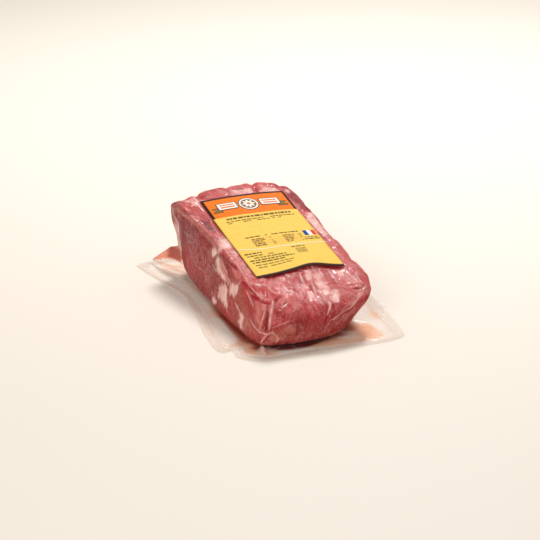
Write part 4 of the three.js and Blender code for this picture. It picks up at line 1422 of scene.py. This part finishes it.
# The rosette's discs from the lowest up: half their width and height, their look and their lobes
ROSETTE_PLACE = (LABEL_SIZE[0] / 2, 19.5)
ROSETTE_DISCS = [
    ((9.8, 11.6), "label_frame", 0), ((9.0, 10.7), "print_white", 0), ((7.4, 8.8), "print_olive", 0),
    ((6.4, 7.7), "print_white", 8), ((2.0, 2.3), "label_orange", 0),
]
LOBE_DEPTH = 0.45

# Lines of print: where they start and end across, their place along, their height and how many words show
TEXT_LINES = [
    (11, 74, 41.8, 3.2, 1), (9, 76, 47.8, 1.6, 0.95), (10, 66, 51.2, 1.4, 0.8),
    (67.5, 81.3, 95.4, 1.7, 1), (67, 81.5, 98.8, 1.9, 1), (3, 20, 111.8, 2.4, 1),
    (4, 30, 116.6, 1.8, 0.95), (4, 40, 120.8, 1.8, 0.95), (4, 46, 124.8, 2.3, 0.95),
    (5, 36, 129.0, 2.2, 0.95), (6, 42, 134.4, 1.5, 0.95), (7, 38, 139.0, 1.5, 0.95),
    (48.5, 61, 111.2, 1.6, 1),
]

# The table's first row, the step between rows and its thin rules
TABLE_ROWS = 5
TABLE_FROM = 87.2
TABLE_STEP = 3.1
RULE_ACROSS = (18, 66)
RULE_BELOW = (2.1, 2.35)

# The block of figures: where it starts and ends across and along, and its rows
FIGURES_ACROSS = (51.0, 60.5)
FIGURES_ALONG = (115.2, 117.6)
FIGURE_WIDTH = 0.9
FIGURE_ROWS = 3
FIGURE_STEP = 3.2

# The flag's first stripe across, its ends along and the width of a stripe
FLAG_STRIPE = (69.8, 73.6)
FLAG_ALONG = (82.6, 92.4)
FLAG_STEP = 3.8

# The painted highlight along the crease's ridge, as a pale line laid over the print
CREASE_HIGHLIGHT_INSET = 0.2
CREASE_HIGHLIGHT_ROWS = [-0.8, 0.0, 0.7]

# How far the lip past the label's near edge bends down
LABEL_DROP = 0.5

# The crease across the label: its place along, how far it dips on the left, and its height and width
CREASE = {"along": 108.8, "dip": 6.5, "dip_at": -4, "dip_width": 17, "height": 0.7, "width": 1.3}


def label_surface(across, along, lift=0.0):
    """Places on the label's printed face, from places across and along it."""
    dx, dy = across - LABEL_SIZE[0] / 2, LABEL_SIZE[1] / 2 - along
    x = LABEL_CENTRE[0] + dx * math.cos(LABEL_TURN) - dy * math.sin(LABEL_TURN)
    y = LABEL_CENTRE[1] + dx * math.sin(LABEL_TURN) + dy * math.cos(LABEL_TURN)
    flat = np.stack([across, along, np.zeros_like(across)], -1)
    waves = noise(flat, 22, seed=91) * 0.25 + crease_ridge(across, along)
    return np.stack([x, y, top_height(x, y) + LABEL_GAP + LABEL_THICKNESS + waves + lift], -1)


def crease_line(across):
    """Where the crease crosses the label, along from its far edge."""
    return CREASE["along"] - CREASE["dip"] * bell(across - CREASE["dip_at"], CREASE["dip_width"])


def crease_ridge(across, along):
    return CREASE["height"] * bell(along - crease_line(across), CREASE["width"])


def grid_quads(rows, columns):
    """The corners of each cell of a grid."""
    for row in range(rows - 1):
        for column in range(columns - 1):
            here = row * columns + column
            yield here, here + columns, here + columns + 1, here + 1


def grid_rim(rows, columns):
    """The corners along the grid's rim, once round."""
    last = rows * columns - 1
    rim = list(range(columns))
    rim += [columns - 1 + columns * row for row in range(1, rows)]
    rim += [last - column for column in range(1, columns)]
    rim += [columns * row for row in range(rows - 2, 0, -1)]
    return rim


class Print:
    """Flat shapes laid on the label, each with a material of its own."""

    def __init__(self):
        self.vertices, self.faces, self.looks = [], [], []

    def sheet(self, across, along, look, layer=1):
        """A grid of places, given by rows."""
        start = sum(len(v) for v in self.vertices)
        self.vertices.append(label_surface(across, along, PRINT_LIFT * layer).reshape(-1, 3))
        for quad in grid_quads(*across.shape):
            self.faces.append(tuple(start + corner for corner in quad))
            self.looks.append(look)

    def box(self, left, far, right, near, look, layer=1):
        """A rectangle of the label's plane."""
        columns = max(2, int((right - left) / PRINT_STEP) + 2)
        rows = max(2, int((near - far) / PRINT_STEP) + 2)
        across, along = np.meshgrid(np.linspace(left, right, columns), np.linspace(far, near, rows))
        self.sheet(across, along, look, layer)

    def disc(self, centre, radii, look, layer=1, turns=40, lobes=0):
        """A disc, or a rosette with lobes."""
        turn = np.linspace(0, math.tau, turns + 1)
        reach = 1 - LOBE_DEPTH * (0.5 - 0.5 * np.cos(lobes * turn))
        share = np.linspace(0, 1, 3)[:, None]
        across = centre[0] + radii[0] * share * reach * np.cos(turn)
        along = centre[1] - radii[1] * share * reach * np.sin(turn)
        self.sheet(across[::-1], along[::-1], look, layer)

    def words(self, left, right, along, height, rng, fill):
        """A line of short bars like words."""
        at = left
        while at < right - 1:
            length = min(rng.uniform(1.4, 5.5), right - at)
            if rng.random() < fill:
                self.box(at, along, at + length, along + height, "print_ink")
            at += length + rng.uniform(0.6, 1.1)


def print_ribbon(page, side):
    """A white panel with two orange lines beside the rosette, on a ribbon with a notched olive end."""
    inner, outer, tail = (ROSETTE_PLACE[0] + side * reach for reach in (12, 30, 36))
    panel, end = sorted((inner, outer)), sorted((outer - side * 2, tail))
    page.box(end[0] - 0.6, 19.4, end[1] + 0.6, 28.6, "label_frame", 1)
    page.box(end[0], 20, end[1], 28, "print_olive", 2)
    page.disc((tail + side * 0.6, 24), (2.6 * side, 2.4), "label_orange", 3, turns=4)
    page.box(panel[0] - 0.7, 12.6, panel[1] + 0.7, 25.0, "label_frame", 4)
    page.box(panel[0], 13.4, panel[1], 24.2, "print_white", 5)
    for along, height in ((15.6, 2.0), (19.6, 2.4)):
        page.box(panel[0] + 2, along, panel[1] - 2, along + height, "label_orange", 6)


def print_head(page):
    """The rosette on the orange head, and a ribbon on either side of it."""
    for layer, (radii, look, lobes) in enumerate(ROSETTE_DISCS, 1):
        page.disc(ROSETTE_PLACE, radii, look, layer, lobes=lobes)
    for side in (-1, 1):
        print_ribbon(page, side)


def print_table(page, rng):
    """The table on the yellow field, with thin orange rules."""
    page.words(15, 66, 82, 1.9, rng, fill=0.95)
    for row in range(TABLE_ROWS):
        along = TABLE_FROM + row * TABLE_STEP
        page.words(19, 19 + rng.uniform(8, 12), along, 1.6, rng, fill=1)
        page.words(36, 39, along + 0.2, 1.0, rng, fill=0.7)
        page.words(49, 60 - row, along, 1.5, rng, fill=1)
        page.words(64, 67, along + 0.2, 1.0, rng, fill=0.7)
        far, near = (along + below for below in RULE_BELOW)
        page.box(RULE_ACROSS[0], far, RULE_ACROSS[1], near, "print_rule")


def print_flag(page):
    left, right = FLAG_STRIPE
    for place, look in enumerate(("print_blue", "print_white", "print_red")):
        page.box(left + place * FLAG_STEP, FLAG_ALONG[0], right + place * FLAG_STEP, FLAG_ALONG[1], look)


def print_figures(page, rng):
    """Rows of narrow bars like figures."""
    for row in range(FIGURE_ROWS):
        far, near = (place + row * FIGURE_STEP for place in FIGURES_ALONG)
        at, end = FIGURES_ACROSS
        while at < end:
            page.box(at, far, at + FIGURE_WIDTH, near, "print_ink")
            at += rng.uniform(1.3, 1.9)


def print_text(page, rng):
    """The heading, the blocks of small print and the block of figures, all as bars."""
    for left, right, along, height, fill in TEXT_LINES:
        page.words(left, right, along, height, rng, fill)
    print_figures(page, rng)


def colour_faces(obj, looks, materials):
    """Gives each face its look, adds the materials for the looks and attaches the piece to the root."""
    names = sorted(set(looks))
    obj.data.polygons.foreach_set("material_index", [names.index(look) for look in looks])
    finish_piece(obj, "label_paper", *[materials[name] for name in names])


def print_crease_highlight(page):
    """The pale line of painted highlight along the crease's ridge."""
    across = np.linspace(CREASE_HIGHLIGHT_INSET, LABEL_SIZE[0] - CREASE_HIGHLIGHT_INSET, 40)[None, :]
    along = crease_line(across) + np.array(CREASE_HIGHLIGHT_ROWS)[:, None]
    page.sheet(np.repeat(across, len(CREASE_HIGHLIGHT_ROWS), 0), along, "label_worn")


def make_print(materials):
    rng = np.random.default_rng(PRINT_SEED)
    page = Print()
    print_head(page)
    print_text(page, rng)
    print_table(page, rng)
    print_flag(page)
    print_crease_highlight(page)
    obj = make_mesh("label_print", np.vstack(page.vertices), page.faces)
    colour_faces(obj, page.looks, materials)


def grid_lines(*parts):
    """Places from one border to the next, evenly spaced between each pair."""
    lines = [parts[0]]
    for start, end in zip(parts[:-1], parts[1:]):
        count = max(1, round((end - start) / LABEL_STEP))
        lines.extend(np.linspace(start, end, count + 1)[1:])
    return np.array(lines)


def field_of(across, along):
    """Which field of the label a place lies in."""
    # past the near edge: the dark lip, partly dark border and partly painted shadow
    if along > LABEL_SIZE[1]:
        return "label_back"
    if along > HEAD_END:
        return "label_yellow"
    framed = along < FRAME_TOP or across < FRAME_SIDE or across > LABEL_SIZE[0] - FRAME_SIDE
    return "label_frame" if framed else "label_orange"


def label_faces(across, along):
    """The faces of the label's upper side, lower side and cut edges, and their looks."""
    rows, columns = across.shape
    count = rows * columns
    faces, looks = [], []
    for quad in grid_quads(rows, columns):
        middle = (across.flat[list(quad)].mean(), along.flat[list(quad)].mean())
        faces += [quad, tuple(corner + count for corner in reversed(quad))]
        looks += [field_of(*middle), "label_back"]
    rim = grid_rim(rows, columns)
    for here, following in zip(rim, rim[1:] + rim[:1]):
        faces.append((here, following, following + count, here + count))
        looks.append(field_of(across.flat[here], along.flat[here]))
    return faces, looks


def make_label(materials):
    """The label's sheet: its fields on top, its back below and its cut edges between."""
    lines_across = grid_lines(0, FRAME_SIDE, LABEL_SIZE[0] - FRAME_SIDE, LABEL_SIZE[0])
    lines_along = grid_lines(0, FRAME_TOP, HEAD_END, LABEL_SIZE[1], LABEL_SIZE[1] + BAND_BELOW)
    across, along = np.meshgrid(lines_across, lines_along)
    past = np.maximum(along - LABEL_SIZE[1], 0) / BAND_BELOW
    upper = label_surface(across, along)
    upper[..., 2] -= LABEL_DROP * past ** 2
    lower = upper - np.array([0, 0, LABEL_THICKNESS])
    faces, looks = label_faces(across, along)
    obj = make_mesh("label_sheet", np.vstack([upper.reshape(-1, 3), lower.reshape(-1, 3)]), faces)
    colour_faces(obj, looks, materials)
    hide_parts("label")


# The camera, the light and the floor

CAMERA_PLACE = (-0.6176, -1.6973, 0.6775)
CAMERA_TARGET = (0.026, 0.071, 0.0)
CAMERA_LENS = 140
FLOOR_HALF = 4000.0
FLOOR_COLOUR = linear("efe4d6")

LIT_PLACE = (0, 0, 0.03)
KEY_LIGHT = {"place": (0.52, 0.84, 1.26), "size": 0.4, "power": 19.5}
FILL_LIGHT = {"place": (-1.3, -1.7, 0.9), "size": 1.2, "power": 24}
SURROUND_STRENGTH = 0.42


def aim(obj, target):
    direction = Vector(target) - obj.location
    obj.rotation_euler = direction.to_track_quat("-Z", "Y").to_euler()


def make_camera():
    camera = bpy.data.objects.new("camera", bpy.data.cameras.new("camera"))
    camera.data.lens = CAMERA_LENS
    camera.location = CAMERA_PLACE
    aim(camera, CAMERA_TARGET)
    bpy.context.scene.collection.objects.link(camera)
    bpy.context.scene.camera = camera


def make_light(name, place, size, power):
    data = bpy.data.lights.new(name, "AREA")
    data.shape = "DISK"
    data.size = size
    data.energy = power
    light = bpy.data.objects.new(name, data)
    light.location = place
    aim(light, LIT_PLACE)
    bpy.context.scene.collection.objects.link(light)


def make_floor():
    corners = [(-FLOOR_HALF, -FLOOR_HALF, 0), (FLOOR_HALF, -FLOOR_HALF, 0)]
    corners += [(FLOOR_HALF, FLOOR_HALF, 0), (-FLOOR_HALF, FLOOR_HALF, 0)]
    floor = make_mesh("floor", np.array(corners), [(0, 1, 2, 3)])
    nodes = Nodes("floor")
    floor.data.materials.append(nodes.finish(nodes.surface(FLOOR_FINISH, Base_Color=FLOOR_COLOUR)))


def make_studio():
    """A pale floor, a large soft light above and behind, a weaker one in front and an even surround."""
    make_floor()
    make_light("key", **KEY_LIGHT)
    make_light("fill", **FILL_LIGHT)
    world = bpy.data.worlds.new("surround")
    world.use_nodes = True
    background = world.node_tree.nodes["Background"]
    background.inputs["Color"].default_value = (1, 1, 1, 1)
    background.inputs["Strength"].default_value = SURROUND_STRENGTH
    bpy.context.scene.world = world
    bpy.context.scene.view_settings.view_transform = "Standard"


# The pieces

def finish_piece(obj, slot, *materials):
    for material in materials:
        obj.data.materials.append(material)
    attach(obj, "root")


def make_pork():
    skin = Skin(under_rows=UNDERSIDE_ROWS)
    places = meat_places(skin)
    pork = ring_mesh("pork", places, places[0].mean(0), places[-1].mean(0))
    colours, fat, web, deep = meat_colours(skin, places)
    poles = (0, -1)
    set_attributes(pork, "FLOAT_COLOR", poles, tone=colours)
    set_attributes(pork, "FLOAT", poles, fat=fat, web=web, deep=deep)
    set_attributes(pork, "FLOAT_VECTOR", poles, grain=skin.grain, weave=skin.weave)
    finish_piece(pork, "pork_in_film", pork_material())
    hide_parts("vacuum_pouch")


def dress_film(obj, poles, haze, milk, tint, grain, slack, streak):
    """The values that the film's material reads."""
    set_attributes(obj, "FLOAT", poles, haze=clamp(haze), slack=slack, streak=streak)
    set_attributes(obj, "FLOAT_COLOR", poles, milk=milk, tint=tint)
    set_attributes(obj, "FLOAT_VECTOR", poles, grain=grain)


# The loose film at the far left corner: the heights where its fin starts and reddens, and the fold inside it
FIN_FOOT = (21, 26)
FIN_TOP = (44, 50)
INNER_FOLD = {"from_corner": 4, "width": 1.2, "foot": (20, 28), "top": (50, 58)}

# The web of film there: the lower border of its juice, and how far it stands off the meat
WEB_BORDER = {"start": 0.5, "end": 0.62, "soft": 0.08}
WEB_TOP = (22, 28)
WEB_CORNER = 12
WEB_STANDS_OFF = (0.8, 2.5)

# The painted dark red shadow on the film under the near edge: how far it reaches at its right and left end,
# and where it starts
NEAR_SHADE_REACH = (7, 13)
NEAR_SHADE_LEFT = (-30, 25)
NEAR_SHADE_START = (108, 120)

BASE_HEIGHT = 0.15
BASE_HAZE = 0.03
BASE_RINGS = (0.3, 0.6, 0.85, 1.03)


def fin_shares(skin, places):
    """Where the film stands loose in a fin, where that is its top, and where the fold inside it lies."""
    z = places[..., 2]
    fin = bell(skin.from_fin, 4) * rise(-skin.past, -2, 1) * rise(z, *FIN_FOOT)
    off = bell(skin.from_fin - INNER_FOLD["from_corner"], INNER_FOLD["width"])
    fold = off * between(z, INNER_FOLD["foot"], INNER_FOLD["top"]) * (skin.past < 0)
    return fin, fin * rise(z, *FIN_TOP), fold


def web_shares(skin, places):
    """Where juice colours the web at the far left corner, and how far out from the meat that is."""
    x, y, z = np.moveaxis(places, -1, 0)
    start, end = np.array(WEB["from"]), np.array(WEB["to"])
    length = np.linalg.norm(end - start)
    out = ((x - start[0]) * (end[0] - start[0]) + (y - start[1]) * (end[1] - start[1])) / length ** 2
    top = WEB["height"] * (1 - clamp(out, 0, 0.95))
    border = mix(WEB_BORDER["start"], WEB_BORDER["end"], rise(out, 0, 0.5))
    soft = WEB_BORDER["soft"]
    juicy = rise(z / top, border - soft, border + soft) * rise(-z, -WEB_TOP[1], -WEB_TOP[0])
    off = np.linalg.norm(places[..., :2] - skin.points[..., :2], axis=-1) * (skin.from_fin < WEB_CORNER)
    return juicy * rise(off, *WEB_STANDS_OFF), rise(out, 0.0, 0.25)


def film_looks(skin, places):
    """How hazy the film is, painted glints included, the colour of its hazy parts and the tint of its clear
    ones.
    """
    fin, fin_top, inner_fold = fin_shares(skin, places)
    web, away = web_shares(skin, places)
    _, folds, milk = placed_folds(skin)
    streaks = 0.7 + 0.2 * noise(skin.points, 7, seed=26)
    haze = [folds, rise(fin, 0, 0.5) * streaks, fin_top * 0.92, web * 0.75, inner_fold * 0.5]
    milk = blend_colour(milk, PALE, inner_fold)
    milk = blend_colour(milk, FIN_PINK, fin)
    milk = blend_colour(milk, MUSCLE["left"], fin_top * rise(places[..., 2], *FIN_TOP))
    milk = blend_colour(milk, mix(np.array(WEB_RED), np.array(ORANGE_PINK), away[..., None]), web)
    tint = blend_colour(np.ones(places.shape), JUICE, web)
    return np.maximum.reduce(haze), milk, tint


def make_film(material):
    skin = Skin()
    places = film_places(skin)
    film = ring_mesh("pouch_film", places, None, places[-1].mean(0))
    dress_film(film, (-1,), *film_looks(skin, places), skin.flow, slackness(skin), streakiness(skin))
    finish_piece(film, "pouch_film", material)
    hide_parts("vacuum_pouch")
    return places[0], skin


def near_edge_shade(places, foot):
    """The painted dark red shadow on the film under the block's near edge."""
    x, y, _ = np.moveaxis(places, -1, 0)
    from_foot = np.linalg.norm(places[..., :2] - foot[:, :2], axis=-1)
    reach = mix(*NEAR_SHADE_REACH, rise(-x, *NEAR_SHADE_LEFT))
    return rise(reach - from_foot, 0, 4) * rise(-y, *NEAR_SHADE_START)


def make_margin(foot, skin, material):
    places, haze, milk, juice, blood_and_shade = margin_rows(foot, skin.square)
    margin = ring_mesh("pouch_margin", places)
    tint = np.ones(places.shape)
    # the margin's tint: juice, blood and painted shade by the foot, and painted shadow under the near edge
    for colour, share in ((JUICE, juice), (BLOOD_AND_SHADE_TINT, blood_and_shade), (NEAR_EDGE_SHADE_RED, near_edge_shade(places, foot))):
        tint = blend_colour(tint, colour, share)
    dress_film(margin, (), haze, milk, tint, places, np.ones(juice.shape), np.zeros(juice.shape))
    finish_piece(margin, "pouch_film", material)
    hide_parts("vacuum_pouch")


def make_base(foot, material):
    """The film under the meat, flat on what the pack lies on."""
    rows = [foot[:, :2] * share for share in BASE_RINGS]
    places = np.stack([np.column_stack([row, np.full(AROUND, BASE_HEIGHT)]) for row in rows])
    base = ring_mesh("pouch_base", places, np.array([0, 0, BASE_HEIGHT]))
    white = np.ones(places.shape)
    even, none = np.ones(places.shape[:2]), np.zeros(places.shape[:2])
    dress_film(base, (0,), even * BASE_HAZE, white, white, places, even, none)
    finish_piece(base, "pouch_film", material)
    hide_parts("vacuum_pouch")


make_camera()
make_studio()
film = film_material("pouch_film", **TIGHT_FILM)
margin_film = film_material("margin_film", **FLAT_FILM)
make_pork()
foot, film_skin = make_film(film)
make_margin(foot, film_skin, margin_film)
make_base(foot, margin_film)
label_materials = {name: paper_material(name, colour) for name, colour in FIELDS.items()}
make_label(label_materials)
make_print(label_materials)
